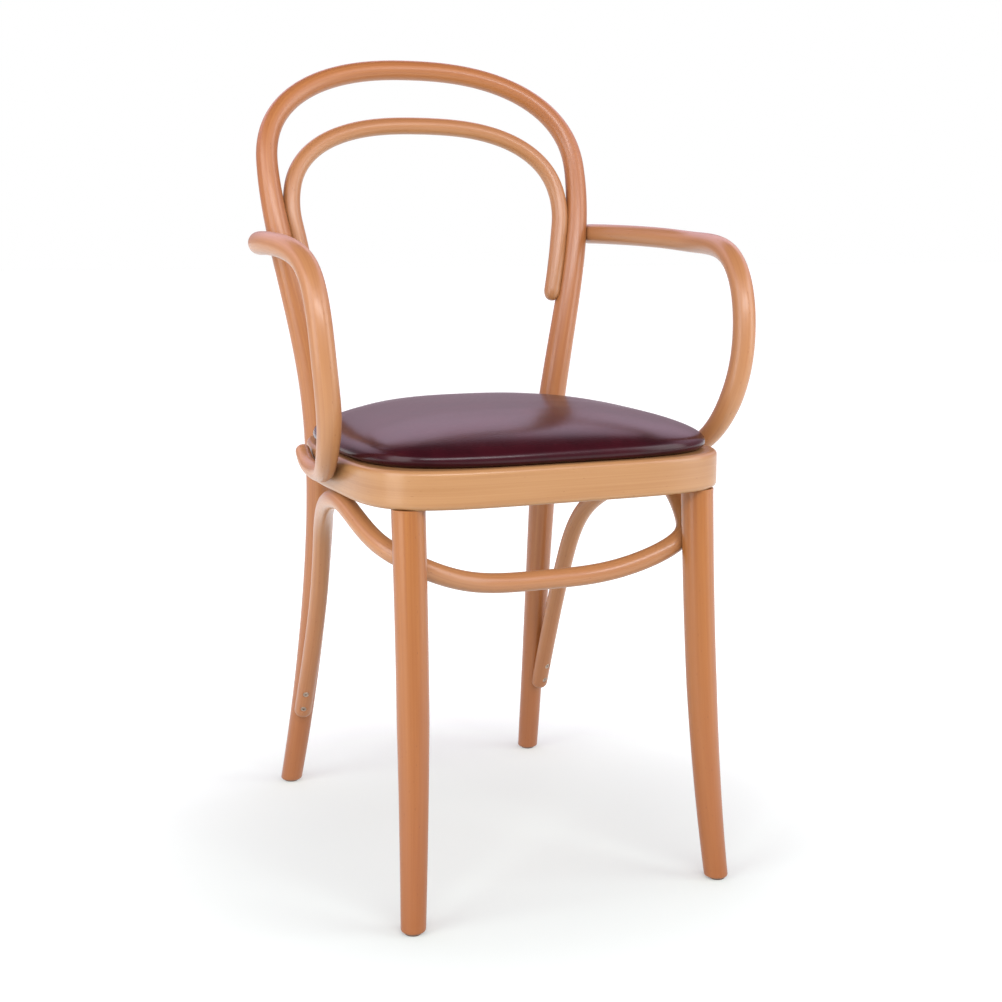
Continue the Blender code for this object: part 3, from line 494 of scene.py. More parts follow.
def settle(piece: Object, slot: Slot, nodes: list[str]) -> None:
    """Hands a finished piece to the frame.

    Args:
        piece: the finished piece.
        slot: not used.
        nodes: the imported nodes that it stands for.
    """
    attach(piece, BODY)
    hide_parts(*nodes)
    LOG.info("%s: %d faces, stands for %s", piece.name, len(piece.data.polygons), ", ".join(nodes))


class NodeTool:
    """A Geometry Nodes tree with named inputs, which makes a plain mesh from an object."""

    def __init__(self, name: str, sockets: dict[str, str]) -> None:
        """Starts the tree.

        Args:
            name: the tree's name.
            sockets: the kind of each input, by its name, after the geometry.
        """
        self.tree = bpy.data.node_groups.new(name, "GeometryNodeTree")
        self.tree.interface.new_socket("Geometry", in_out="INPUT", socket_type="NodeSocketGeometry")
        self.keys = {}
        for label, kind in sockets.items():
            socket = self.tree.interface.new_socket(label, in_out="INPUT", socket_type=kind)
            self.keys[label] = socket.identifier
        self.tree.interface.new_socket("Geometry", in_out="OUTPUT", socket_type="NodeSocketGeometry")
        self.entry = self.add("NodeGroupInput")

    def add(self, kind: str, settings: dict | None = None, inputs: dict | None = None) -> Node:
        """Adds a node to the tree."""
        return add_node(self.tree, kind, settings, inputs)

    def close(self, geometry: NodeSocket) -> None:
        """Ends the tree: copies become real and the whole takes its material.

        Args:
            geometry: what the tree has made.
        """
        real = self.add("GeometryNodeRealizeInstances", inputs={"Geometry": geometry})
        dressed = self.add("GeometryNodeSetMaterial", inputs={
            "Geometry": real.outputs[0], "Material": self.entry.outputs["Material"]})
        self.add("NodeGroupOutput", inputs={"Geometry": dressed.outputs[0]})

    def run(self, thing: Object, values: dict) -> Mesh:
        """Runs the tree on an object.

        Args:
            thing: the object that the tree starts from.
            values: the value of each named input.

        Returns:
            The plain mesh.
        """
        modifier = thing.modifiers.new(self.tree.name, "NODES")
        modifier.node_group = self.tree
        for label, value in values.items():
            modifier[self.keys[label]] = value
        return plain_mesh(thing)


class Sweep(NodeTool):
    """Carries a section along a bent line, and keeps for each point where it lay in the straight stick."""

    def __init__(self) -> None:
        """Builds the tree."""
        super().__init__("carried_section", {
            "Section": "NodeSocketObject", "Closed Ends": "NodeSocketBool", "Material": "NodeSocketMaterial"})
        line = self.add("GeometryNodeMeshToCurve", inputs={"Mesh": self.entry.outputs["Geometry"]})
        kept = self.add("GeometryNodeCaptureAttribute", inputs={"Geometry": line.outputs[0]})
        thick = self.add("GeometryNodeInputNamedAttribute", {"data_type": "FLOAT"}, {"Name": "radius"})
        level = self.add("GeometryNodeInputNamedAttribute", {"data_type": "FLOAT"}, {"Name": "level"})
        fields = {
            "along": ("FLOAT", self.add("GeometryNodeSplineParameter").outputs["Length"]),
            "thick": ("FLOAT", thick.outputs["Attribute"]),
            "level": ("FLOAT", level.outputs["Attribute"]),
            "way": ("VECTOR", self.add("GeometryNodeInputTangent").outputs[0]),
            "centre": ("VECTOR", self.add("GeometryNodeInputPosition").outputs[0]),
        }
        for label, (kind, source) in fields.items():
            kept.capture_items.new(kind, label)
            self.tree.links.new(source, kept.inputs[label])
        section = self.add("GeometryNodeObjectInfo", inputs={"Object": self.entry.outputs["Section"]})
        outline = self.add("GeometryNodeMeshToCurve", inputs={"Mesh": section.outputs["Geometry"]})
        shape = self.add("GeometryNodeCaptureAttribute", inputs={"Geometry": outline.outputs[0]})
        shape.capture_items.new("VECTOR", "within")
        self.tree.links.new(self.add("GeometryNodeInputPosition").outputs[0], shape.inputs["within"])
        skin = self.add("GeometryNodeCurveToMesh", inputs={
            "Curve": kept.outputs["Geometry"], "Profile Curve": shape.outputs["Geometry"],
            "Scale": kept.outputs["thick"], "Fill Caps": self.entry.outputs["Closed Ends"]})
        tilted = self.levelled(skin.outputs[0], kept)
        across = self.add("ShaderNodeVectorMath", {"operation": "SCALE"}, {
            "Vector": shape.outputs["within"], "Scale": kept.outputs["thick"]})
        split = self.add("ShaderNodeSeparateXYZ", inputs={0: across.outputs[0]})
        unbent = self.add("ShaderNodeCombineXYZ", inputs={
            "X": split.outputs["X"], "Y": split.outputs["Y"], "Z": kept.outputs["along"]})
        layer = {"data_type": "FLOAT_VECTOR", "domain": "CORNER"}
        stored = self.add("GeometryNodeStoreNamedAttribute", layer, {
            "Geometry": tilted, "Name": GRAIN, "Value": unbent.outputs[0]})
        self.close(stored.outputs[0])

    def levelled(self, skin: NodeSocket, kept: Node) -> NodeSocket:
        """Slides the points of a section along the rod until the section lies level, as far as it should.

        Args:
            skin: the swept mesh.
            kept: the node that holds each line point's fields.

        Returns:
            The mesh with its level ends.
        """
        place = self.add("GeometryNodeInputPosition")
        off = self.add("ShaderNodeVectorMath", {"operation": "SUBTRACT"}, {
            0: kept.outputs["centre"], 1: place.outputs[0]})
        rise = self.add("ShaderNodeSeparateXYZ", inputs={0: off.outputs[0]})
        climb = self.add("ShaderNodeSeparateXYZ", inputs={0: kept.outputs["way"]})
        slide = self.add("ShaderNodeMath", {"operation": "DIVIDE"}, {
            0: rise.outputs["Z"], 1: climb.outputs["Z"]})
        share = self.add("ShaderNodeMath", {"operation": "MULTIPLY"}, {
            0: slide.outputs[0], 1: kept.outputs["level"]})
        move = self.add("ShaderNodeVectorMath", {"operation": "SCALE"}, {
            "Vector": kept.outputs["way"], "Scale": share.outputs[0]})
        moved = self.add("GeometryNodeSetPosition", inputs={"Geometry": skin, "Offset": move.outputs[0]})
        return moved.outputs[0]

    def carry(self, name: str, bend: Bend, section: Object, material: Material | None,
              closed: bool = False) -> Object:
        """Sweeps a section along a bend.

        Args:
            name: the piece's name.
            bend: the line, its thickness and its level ends.
            section: the outline to carry.
            material: the finish, none for a cutter.
            closed: whether the line ends where it starts.

        Returns:
            The swept piece.
        """
        line = line_object(name, bend.points, values={"radius": bend.radii, "level": bend.level})
        mesh = self.run(line, {"Section": section, "Closed Ends": not closed, "Material": material})
        discard([line])
        if closed:
            self.join_ends(mesh)
        return add_object(name, shaded(mesh))

    def join_ends(self, mesh: Mesh) -> None:
        """Joins the two open ends of a ring, where they meet.

        Args:
            mesh: the swept ring.
        """
        with edited(mesh) as shape:
            rims = [point for point in shape.verts if point.is_boundary]
            bmesh.ops.remove_doubles(shape, verts=rims, dist=CLEARANCE)


class SetOut(NodeTool):
    """Sets copies of one fixing out on points, each turned along its own way."""

    def __init__(self) -> None:
        """Builds the tree."""
        super().__init__("set_out_fixings", {
            "Fixing": "NodeSocketObject", "Seed": "NodeSocketInt", "Material": "NodeSocketMaterial"})
        way = self.add("GeometryNodeInputNamedAttribute", {"data_type": "FLOAT_VECTOR"}, {"Name": "way"})
        aimed = self.add("FunctionNodeAlignRotationToVector", {"axis": "Z"}, {
            "Vector": way.outputs["Attribute"]})
        chance = self.add("FunctionNodeRandomValue", {"data_type": "FLOAT"}, {
            "Seed": self.entry.outputs["Seed"], 3: 2 * math.pi})
        spin = self.add("FunctionNodeAxisAngleToRotation", inputs={
            "Axis": (0.0, 0.0, 1.0), "Angle": chance.outputs[1]})
        turn = self.add("FunctionNodeRotateRotation", {"rotation_space": "LOCAL"}, {
            0: aimed.outputs[0], 1: spin.outputs[0]})
        fixing = self.add("GeometryNodeObjectInfo", inputs={"Object": self.entry.outputs["Fixing"]})
        copies = self.add("GeometryNodeInstanceOnPoints", inputs={
            "Points": self.entry.outputs["Geometry"], "Instance": fixing.outputs["Geometry"],
            "Rotation": turn.outputs[0]})
        self.close(copies.outputs[0])

    def copies(self, name: str, fixing: Object, places: list["Axis"], seed: int,
               material: Material | None) -> Object:
        """Sets a fixing out on its axes.

        Args:
            name: the piece's name.
            fixing: one fixing, with its head at the origin and its axis up.
            places: where each head lies and the way that it faces.
            seed: fixes how far each is turned.
            material: the finish, none for a cutter.

        Returns:
            All the copies as one piece.
        """
        heads = np.array([place.head for place in places])
        ways = np.array([place.out for place in places])
        points = line_object(name, heads, values={"way": ways})
        mesh = self.run(points, {"Fixing": fixing, "Seed": seed, "Material": material})
        discard([points])
        return add_object(name, shaded(mesh))


# Finishes

@dataclass(frozen=True)
class Pattern:
    """A noise pattern: its size in millimetres on each axis, and how fine, rough and bent it is."""

    size_mm: Triple
    detail: float
    roughness: float = 0.5
    distortion: float = 0.0

    def draw(self, tree: NodeTree, place: NodeSocket) -> NodeSocket:
        """Draws the pattern.

        Args:
            tree: the material's nodes.
            place: the coordinates, in metres, that it lies on.

        Returns:
            The pattern's value.
        """
        sized = add_node(tree, "ShaderNodeMapping", inputs={
            "Vector": place, "Scale": [1e3 / size for size in self.size_mm]})
        cloud = add_node(tree, "ShaderNodeTexNoise", inputs={
            "Vector": sized.outputs[0], "Scale": 1.0, "Detail": self.detail, "Roughness": self.roughness,
            "Distortion": self.distortion})
        return cloud.outputs["Fac"]


@dataclass(frozen=True, kw_only=True)
class Finish:
    """What every finish has: its name, its roughness and relief, and values that are the same all over."""

    name: str
    gloss: Pair
    bump: float = 0.0
    bump_mm: float = 0.0
    uniform: Values = ()

    def look(self, tree: NodeTree) -> tuple[NodeSocket, ...]:
        """The colour, the gloss's pattern and the relief's pattern, which each finish draws itself."""
        raise NotImplementedError

    def material(self) -> Material:
        """Builds the material.

        Returns:
            The material with its look on its shader.
        """
        finish = bpy.data.materials.new(self.name)
        finish.use_nodes = True
        tree = finish.node_tree
        colour, shine, relief = self.look(tree)
        gloss = add_node(tree, "ShaderNodeMapRange", inputs={
            "Value": shine, "From Min": NOISE_LOW, "From Max": NOISE_HIGH,
            "To Min": self.gloss[0], "To Max": self.gloss[1]})
        sockets = {"Base Color": colour, "Roughness": gloss.outputs[0], **dict(self.uniform)}
        if self.bump:
            sockets["Normal"] = add_node(tree, "ShaderNodeBump", inputs={
                "Strength": self.bump, "Distance": self.bump_mm / 1e3, "Height": relief}).outputs[0]
        feed(tree, tree.nodes["Principled BSDF"], sockets)
        return finish


@dataclass(frozen=True, kw_only=True)
class Beech(Finish):
    """Steam-bent beech under a clear satin lacquer.

    It gives the eye a warm tan, deepened towards the feet by painted shade, with faint streaks along the
    bend, short dark ray flecks, and a soft clear shine.
    """

    pale: str
    deep: str
    stops: Pair = (0.34, 0.66)
    streak: Pattern = Pattern((2.0, 2.0, 240.0), 3.0, 0.55, 0.3)
    tone: Pattern = Pattern((18.0, 18.0, 360.0), 2.0, 0.5)
    tone_share: float = 0.55
    pore: Pattern = Pattern((0.7, 0.7, 8.4), 2.0, 0.6)
    # Painted shade: this colour is mixed in towards the floor, standing in for the light that falls off there
    foot: str = "#8C4E21"
    foot_share: float = 0.55
    foot_mm: float = 400.0
    fleck: str = "#6E3B1F"
    fleck_mm: Triple = (2.4, 2.4, 9.0)
    fleck_edge: Pair = (0.06, 0.22)
    fleck_rarity: Pair = (0.62, 0.85)
    fleck_share: float = 0.5
    gloss: Pair = (0.36, 0.46)
    bump: float = 0.03
    bump_mm: float = 0.3
    uniform: Values = (
        ("Specular IOR Level", 0.4), ("Coat Weight", 0.4), ("Coat Roughness", 0.22))

    def look(self, tree: NodeTree) -> tuple[NodeSocket, ...]:
        """Draws the grain on the straight stick.

        Args:
            tree: the material's nodes.

        Returns:
            The colour, the pores for the gloss and the streaks for the relief.
        """
        stick = add_node(tree, "ShaderNodeAttribute", {"attribute_name": GRAIN}).outputs["Vector"]
        streak = self.streak.draw(tree, stick)
        shade = add_node(tree, "ShaderNodeMath", {"operation": "MULTIPLY"}, {
            0: self.tone.draw(tree, stick), 1: self.tone_share})
        blend = add_node(tree, "ShaderNodeMath", {"operation": "MULTIPLY_ADD"}, {
            0: streak, 1: 1.0 - self.tone_share, 2: shade.outputs[0]})
        stops = list(zip(self.stops, (self.pale, self.deep)))
        colour = add_node(tree, "ShaderNodeValToRGB", {"stops": stops}, {"Fac": blend.outputs[0]})
        footed = self.footed(tree, colour.outputs["Color"])
        return self.flecked(tree, stick, footed), self.pore.draw(tree, stick), streak

    def footed(self, tree: NodeTree, colour: NodeSocket) -> NodeSocket:
        """Paints shade into the colour towards the floor, where less light reaches the wood.

        Args:
            tree: the material's nodes.
            colour: the wood's colour.

        Returns:
            The colour with its painted shade.
        """
        place = add_node(tree, "ShaderNodeTexCoord")
        split = add_node(tree, "ShaderNodeSeparateXYZ", inputs={0: place.outputs["Object"]})
        low = add_node(tree, "ShaderNodeMapRange", EASED, {
            "Value": split.outputs["Z"], "From Min": 0.0, "From Max": self.foot_mm / 1e3,
            "To Min": self.foot_share, "To Max": 0.0})
        return add_node(tree, "ShaderNodeMix", {"data_type": "RGBA"}, {
            MIX_SHARE: low.outputs[0], MIX_FROM: colour, MIX_TO: linear(self.foot)}).outputs[MIX_RESULT]

    def flecked(self, tree: NodeTree, stick: NodeSocket, colour: NodeSocket) -> NodeSocket:
        """Strews the short dark dashes of beech's rays along the grain.

        Args:
            tree: the material's nodes.
            stick: the coordinates in the straight stick.
            colour: the wood's colour.

        Returns:
            The colour with its flecks.
        """
        sized = add_node(tree, "ShaderNodeMapping", inputs={
            "Vector": stick, "Scale": [1e3 / size for size in self.fleck_mm]})
        cell = add_node(tree, "ShaderNodeTexVoronoi", inputs={"Vector": sized.outputs[0], "Scale": 1.0})
        dash = add_node(tree, "ShaderNodeMapRange", EASED, {
            "Value": cell.outputs["Distance"], "From Min": self.fleck_edge[0], "From Max": self.fleck_edge[1],
            "To Min": 1.0, "To Max": 0.0})
        rare = add_node(tree, "ShaderNodeMapRange", EASED, {
            "Value": cell.outputs["Color"],
            "From Min": self.fleck_rarity[0], "From Max": self.fleck_rarity[1],
            "To Min": 0.0, "To Max": self.fleck_share})
        share = add_node(tree, "ShaderNodeMath", {"operation": "MULTIPLY"}, {
            0: dash.outputs[0], 1: rare.outputs[0]})
        return add_node(tree, "ShaderNodeMix", {"data_type": "RGBA"}, {
            MIX_SHARE: share.outputs[0], MIX_FROM: colour, MIX_TO: linear(self.fleck)}).outputs[MIX_RESULT]


@dataclass(frozen=True, kw_only=True)
class Mottled(Finish):
    """A finish of two colours in one pattern, with its gloss and relief from a finer one or from the same."""

    low: str
    high: str
    stops: Pair
    pattern: Pattern
    fine: Pattern | None = None

    def look(self, tree: NodeTree) -> tuple[NodeSocket, ...]:
        """Draws the patterns on the piece's place in the chair.

        Args:
            tree: the material's nodes.

        Returns:
            The colour, the pattern of the gloss and the pattern of the relief.
        """
        place = add_node(tree, "ShaderNodeTexCoord").outputs["Object"]
        value = self.pattern.draw(tree, place)
        stops = list(zip(self.stops, (self.low, self.high)))
        colour = add_node(tree, "ShaderNodeValToRGB", {"stops": stops}, {"Fac": value})
        fine = self.fine.draw(tree, place) if self.fine else value
        return colour.outputs["Color"], fine, fine


@dataclass(frozen=True, kw_only=True)
class Leather(Mottled):
    """Smooth burgundy hide with a rolled, sealed face.

    It gives the eye a dark wine red with a broad pale sheen where it lies flat to the view. Real pores are
    about a quarter as wide as the fine pattern, too fine to show from a step away.
    """

    name: str = "smooth_burgundy_leather"
    low: str = "#2A0A11"
    high: str = "#350D15"
    stops: Pair = (0.35, 0.68)
    pattern: Pattern = Pattern((38.0, 38.0, 38.0), 4.0, 0.6)
    fine: Pattern = Pattern((2.6, 2.6, 2.6), 1.0)
    gloss: Pair = (0.215, 0.25)
    bump: float = 0.5
    bump_mm: float = 0.04
    uniform: Values = (("IOR", 1.32),)


@dataclass(frozen=True, kw_only=True)
class Steel(Mottled):
    """Bronzed steel, turned and rolled.

    It gives the eye small dull brown glints, mottled over each head.
    """

    name: str = "bronzed_steel"
    low: str = "#9A8676"
    high: str = "#C6B4A4"
    stops: Pair = (0.35, 0.65)
    pattern: Pattern = Pattern((1.2, 1.2, 1.2), 3.0)
    gloss: Pair = (0.45, 0.28)
    uniform: Values = (("Metallic", 1.0),)


@dataclass(frozen=True, kw_only=True)
class Nylon(Mottled):
    """Moulded brown nylon.

    It gives the eye a dull dark disc, scuffed where it slides.
    """

    name: str = "moulded_brown_nylon"
    low: str = "#5B4030"
    high: str = "#7A6452"
    stops: Pair = (0.4, 0.75)
    pattern: Pattern = Pattern((2.0, 2.0, 2.0), 5.0, 0.65)
    gloss: Pair = (0.42, 0.62)
    bump: float = 0.2
    bump_mm: float = 0.2


@dataclass(frozen=True, kw_only=True)
class Plywood(Mottled):
    """Sanded birch plywood, left bare.

    It gives the eye a pale matt face with long fine grain across the seat.
    """

    name: str = "bare_birch_plywood"
    low: str = "#DDBE93"
    high: str = "#C29A68"
    stops: Pair = (0.3, 0.72)
    pattern: Pattern = Pattern((160.0, 3.0, 3.0), 5.0, 0.6, 0.6)
    gloss: Pair = (0.58, 0.7)
    bump: float = 0.25
    bump_mm: float = 0.3


# Fixings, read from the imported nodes

@dataclass(frozen=True)
class Axis:
    """Where a fixing's head lies, the way that it faces and how long the fixing is."""

    head: np.ndarray
    out: np.ndarray
    length: float

    END_SLICE = 1e-4

    @classmethod
    def of(cls, node: str) -> "Axis":
        """Reads a screw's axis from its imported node: its head is the wide end and its point the other.

        Args:
            node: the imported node's name.

        Returns:
            The axis.
        """
        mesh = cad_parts[node].data
        points = np.empty(len(mesh.vertices) * 3)
        mesh.vertices.foreach_get("co", points)
        points = np.unique(points.reshape(-1, 3).round(6), axis=0)
        middle = points.mean(axis=0)
        way = np.linalg.svd(points - middle)[2][0]
        along = (points - middle) @ way
        off = np.linalg.norm(points - middle - along[:, None] * way, axis=1)
        half = (along.max() + along.min()) / 2
        if off[along > half].max() < off[along <= half].max():
            along = -along
        head = points[along > along.max() - cls.END_SLICE].mean(axis=0)
        point = points[along < along.min() + cls.END_SLICE].mean(axis=0)
        length = float(np.linalg.norm(head - point))
        return cls(head, (head - point) / length, length)

    @classmethod
    def under(cls, node: str) -> "Axis":
        """The axis of a glide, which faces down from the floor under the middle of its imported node."""
        middle = np.mean(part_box(node), axis=0)
        return cls(middle * (1.0, 1.0, 0.0), np.array((0.0, 0.0, -1.0)), 0.0)


@dataclass
class Fixings:
    """The screws, bolts, washers and glides, and the wells that the screws need in the wood."""

    head_radius: float = 0.0036
    head_rim: float = 0.0004
    head_dome: float = 0.0001
    shank_radius: float = 0.0020
    thread_pitch: float = 0.0018
    thread_root: float = 0.72
    thread_slope: float = 0.35
    point: float = 0.003
    recess_reach: float = 0.0020
    recess_width: float = 0.0010
    recess_depth: float = 0.0016
    recess_taper: Triple = (0.45, 0.6, 1.0)
    well_depth: float = 0.020
    bolt_radius: float = 0.003
    bolt_head_radius: float = 0.0062
    bolt_head_height: float = 0.005
    bolt_head_sides: int = 6
    washer_radius: float = 0.009
    washer_thickness: float = 0.0015
    glide_radius: float = 0.0085
    glide_height: float = 0.002
    glide_pin_radius: float = 0.0015
    glide_pin: float = 0.012
    edge: float = 0.0006
    sides: int = 32
    # Keeps the corners of a shape off those of the turning that it meets
    off_turn: float = 0.1
    axes: dict[str, Axis] = field(default_factory=dict)

    SCREWS = ("brace_end_screw", "brace_leg_screw", "brace_ring_screw", "arm_bow_screw", "inner_bow_screw",
              "arm_ring_screw", "seat_screw")

    @property
    def cone(self) -> float:
        """Height of the countersunk head's cone."""
        return self.head_radius - self.shank_radius

    def read(self) -> None:
        """Reads every screw's axis from the frame."""
        self.axes = {node: Axis.of(node) for node in self.family(self.SCREWS)}

    def family(self, words: str | tuple[str, ...]) -> list[str]:
        """The nodes whose names start with a word, or with one of several."""
        return sorted(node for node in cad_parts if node.startswith(words))

    def screw(self, length: float) -> Object:
        """A countersunk wood screw with a cross recess, its head at the origin and its point down.

        Args:
            length: from the head's face to the point.

        Returns:
            The screw.
        """
        root = self.thread_root * self.shank_radius
        profile = [(0.0, self.head_dome), (self.head_radius - self.head_rim, 0.0),
                   (self.head_radius, -self.head_rim), (self.shank_radius, -self.cone - self.head_rim)]
        for ridge in range(int((length - self.point - 2 * self.cone) / self.thread_pitch)):
            crest = -2 * self.cone - (ridge + 0.5) * self.thread_pitch
            profile += [(root, crest + self.thread_slope * self.thread_pitch), (self.shank_radius, crest)]
        profile += [(root, self.point - length), (0.0, -length)]
        screw = turned("screw", profile, self.sides)
        arms = [self.recess(turn) for turn in (self.off_turn, self.off_turn + QUARTER_TURN)]
        carve(screw, arms)
        discard(arms)
        return screw

    def recess(self, turn: float) -> Object:
        """One arm of the cross recess, narrower at its bottom.

        Args:
            turn: how far the arm is turned.

        Returns:
            The cutter.
        """
        mesh = bpy.data.meshes.new("recess")
        with edited(mesh) as shape:
            bmesh.ops.create_cube(shape, size=1.0)
            size = (2 * self.recess_reach, self.recess_width, 2 * self.recess_depth)
            bmesh.ops.scale(shape, vec=size, verts=shape.verts)
            bottom = [corner for corner in shape.verts if corner.co.z < 0.0]
            bmesh.ops.scale(shape, vec=self.recess_taper, verts=bottom)
        mesh.transform(Matrix.Rotation(turn, 4, "Z"))
        return add_object("recess", mesh)

    def wells(self, setter: SetOut, words: tuple[str, ...]) -> Object:
        """The room over the heads of some families of screws.

        Args:
            setter: sets the copies out.
            words: how the families' names start.

        Returns:
            One cutter for all of them.
        """
        wide = self.head_radius + CLEARANCE
        slim = self.shank_radius + CLEARANCE
        profile = [(0.0, self.well_depth), (wide, self.well_depth), (wide, 0.0),
                   (slim, -self.cone), (slim, -2 * self.cone), (0.0, -2 * self.cone)]
        well = turned("well", profile, self.sides)
        places = [axis for node, axis in self.axes.items() if node.startswith(words)]
        cutter = setter.copies("wells", well, places, 0, None)
        discard([well])
        return cutter

    def bolt(self, length: float) -> Object:
        """A hexagon bolt, its head at the origin and its end down.

        Args:
            length: from the head's face to the end.

        Returns:
            The bolt.
        """
        wide = self.bolt_head_radius
        slim = self.bolt_radius
        low = -self.bolt_head_height
        bolt = turned("bolt", [(0.0, 0.0), (wide - 2 * self.edge, 0.0), (wide, -self.edge), (wide, low),
                               (0.0, low)], self.bolt_head_sides)
        stem = turned("stem", [(0.0, low + CLEARANCE), (slim, low + CLEARANCE), (slim, self.edge - length),
                               (slim - self.edge, -length), (0.0, -length)], self.sides)
        stem.data.transform(Matrix.Rotation(self.off_turn, 4, "Z"))
        combine(bolt, [stem], "UNION")
        discard([stem])
        return bolt

    def washer(self) -> Object:
        """A washer under the head of a bolt that lies at the origin.

        Returns:
            The washer.
        """
        hole = self.bolt_radius + 2 * CLEARANCE
        high = -self.bolt_head_height - CLEARANCE
        low = high - self.washer_thickness
        return turned("washer", [(hole, high), (self.washer_radius - self.edge / 2, high),
                                 (self.washer_radius, high - self.edge / 2), (self.washer_radius, low),
                                 (hole, low), (hole, high)], self.sides)

    def glide(self) -> Object:
        """A nailed glide, its sliding face at the origin and its pin down.

        Returns:
            The glide.
        """
        wide = self.glide_radius
        pin = self.glide_pin_radius
        top = CLEARANCE - self.glide_height
        tip = -self.glide_height - self.glide_pin
        profile = [(0.0, 0.0), (wide - self.edge, 0.0), (wide, -self.edge), (wide, top),
                   (pin, top), (pin, tip), (0.0, tip)]
        return turned("glide", profile, self.sides)

    def build(self, setter: SetOut, steel: Material, nylon: Material) -> None:
        """Makes every fixing and hands it to the frame.

        Args:
            setter: sets the copies out, each kind with its number as seed.
            steel: the finish of screws, bolts and washers.
            nylon: the finish of the glides.
        """
        kinds = []
        for word in self.SCREWS:
            axes = [self.axes[node] for node in self.family(word)]
            kinds.append((word, self.screw(axes[0].length), axes, steel, Slot.STEEL))
        bolts = [Axis.of(node) for node in self.family("seat_bolt")]
        feet = [Axis.under(node) for node in self.family("foot_glide")]
        kinds.append(("seat_bolt", self.bolt(bolts[0].length), bolts, steel, Slot.STEEL))
        kinds.append(("seat_washer", self.washer(), bolts, steel, Slot.STEEL))
        kinds.append(("foot_glide", self.glide(), feet, nylon, Slot.NYLON))
        for seed, (word, pattern, axes, finish, slot) in enumerate(kinds):
            piece = setter.copies(word + "s", pattern, axes, seed, finish)
            settle(piece, slot, self.family(word))
            discard([pattern])


# Sub-assemblies of the chair

@dataclass
class SeatRing:
    """The bent seat rim: a superellipse in plan, squarer in front than behind."""

    top: float = 0.4575
    half_width: float = 0.1995
    front: float = -0.2395
    widest: float = -0.070
    back: float = 0.164
    squareness: Pair = (4.6, 2.8)
    depth: float = 0.0385
    wall: float = 0.034
    edge_round: float = 0.005
    steps: int = 360
    edge_steps: int = 8
    face_steps: int = 10

    @property
    def underside(self) -> float:
        """Height of the ring's lower face."""
        return self.top - self.depth

    @property
    def middle(self) -> float:
        """Height of the middle of the ring's wall."""
        return self.top - self.depth / 2

    def outline(self, inset: float, count: int, squareness: Pair | None = None) -> np.ndarray:
        """The seat's outline, drawn in.

        Args:
            inset: how far inside the ring's outer face the outline lies.
            count: how many points to give.
            squareness: exponents of the front and back, the ring's own if none are given.

        Returns:
            Plan points from the front middle round by the right side.
        """
        front_square, back_square = squareness or self.squareness
        quarter = np.linspace(0.0, QUARTER_TURN, QUARTER_FINE)
        x, y = superellipse(quarter, self.half_width, self.widest - self.front, front_square)
        front = np.stack([x, self.widest - y], axis=1)[::-1]
        x, y = superellipse(quarter, self.half_width, self.back - self.widest, back_square)
        back = np.stack([x, self.widest + y], axis=1)
        half = even_points(np.concatenate([front, back[1:]]), HALF_FINE)
        along = np.gradient(half, axis=0)
        along = along / np.linalg.norm(along, axis=1)[:, None]
        half = half + inset * np.stack([-along[:, 1], along[:, 0]], axis=1)
        half = even_points(half, count // 2 + 1)
        half[[0, -1], 0] = 0.0
        return np.concatenate([half, (half * (-1.0, 1.0))[-2:0:-1]])

    def side(self, depth: float) -> np.ndarray:
        """A point of the ring's right outer side.

        Args:
            depth: how far back the point lies.

        Returns:
            Its plan place.
        """
        half = self.outline(0.0, OUTLINE_FINE)[:OUTLINE_FINE // 2]
        side = half[half[:, 0] > self.half_width / 2]
        return side[np.argmin(np.abs(side[:, 1] - depth))]

    def section(self, grow: float) -> Object:
        """The ring's section, a rectangle with rounded edges.

        Args:
            grow: how much larger than the wood it is all round.

        Returns:
            The outline, across the wall and up.
        """
        reach = np.array((self.wall / 2 + grow, self.depth / 2 + grow))
        corner = reach - self.edge_round
        arcs = []
        for quarter in range(4):
            first = quarter * QUARTER_TURN
            turns = np.linspace(first, first + QUARTER_TURN, self.edge_steps + 1)
            around = np.stack([np.cos(turns), np.sin(turns)], axis=1)
            arcs.append(corner * np.sign(around[self.edge_steps // 2]) + self.edge_round * around)
        points = []
        for arc, after in zip(arcs, [*arcs[1:], arcs[0]]):
            points += [*arc, *np.linspace(arc[-1], after[0], self.face_steps + 1)[1:-1]]
        return line_object("ring_section", [(x, y, 0.0) for x, y in points], closed=True)

    def sweep(self, name: str, sweep: Sweep, material: Material | None, grow: float) -> Object:
        """Carries the section round the ring's middle line, from the joint in its back.

        Args:
            name: the piece's name.
            sweep: carries the section.
            material: the finish, none for a cutter.
            grow: how much larger than the wood it is all round.

        Returns:
            The ring.
        """
        plan = np.roll(self.outline(self.wall / 2, self.steps), -self.steps // 2, axis=0)
        points = np.array([(x, y, self.middle) for x, y in [*plan, plan[0]]])
        section = self.section(grow)
        ring = sweep.carry(name, Bend(points, np.ones(len(points))), section, material, closed=True)
        discard([section])
        return ring


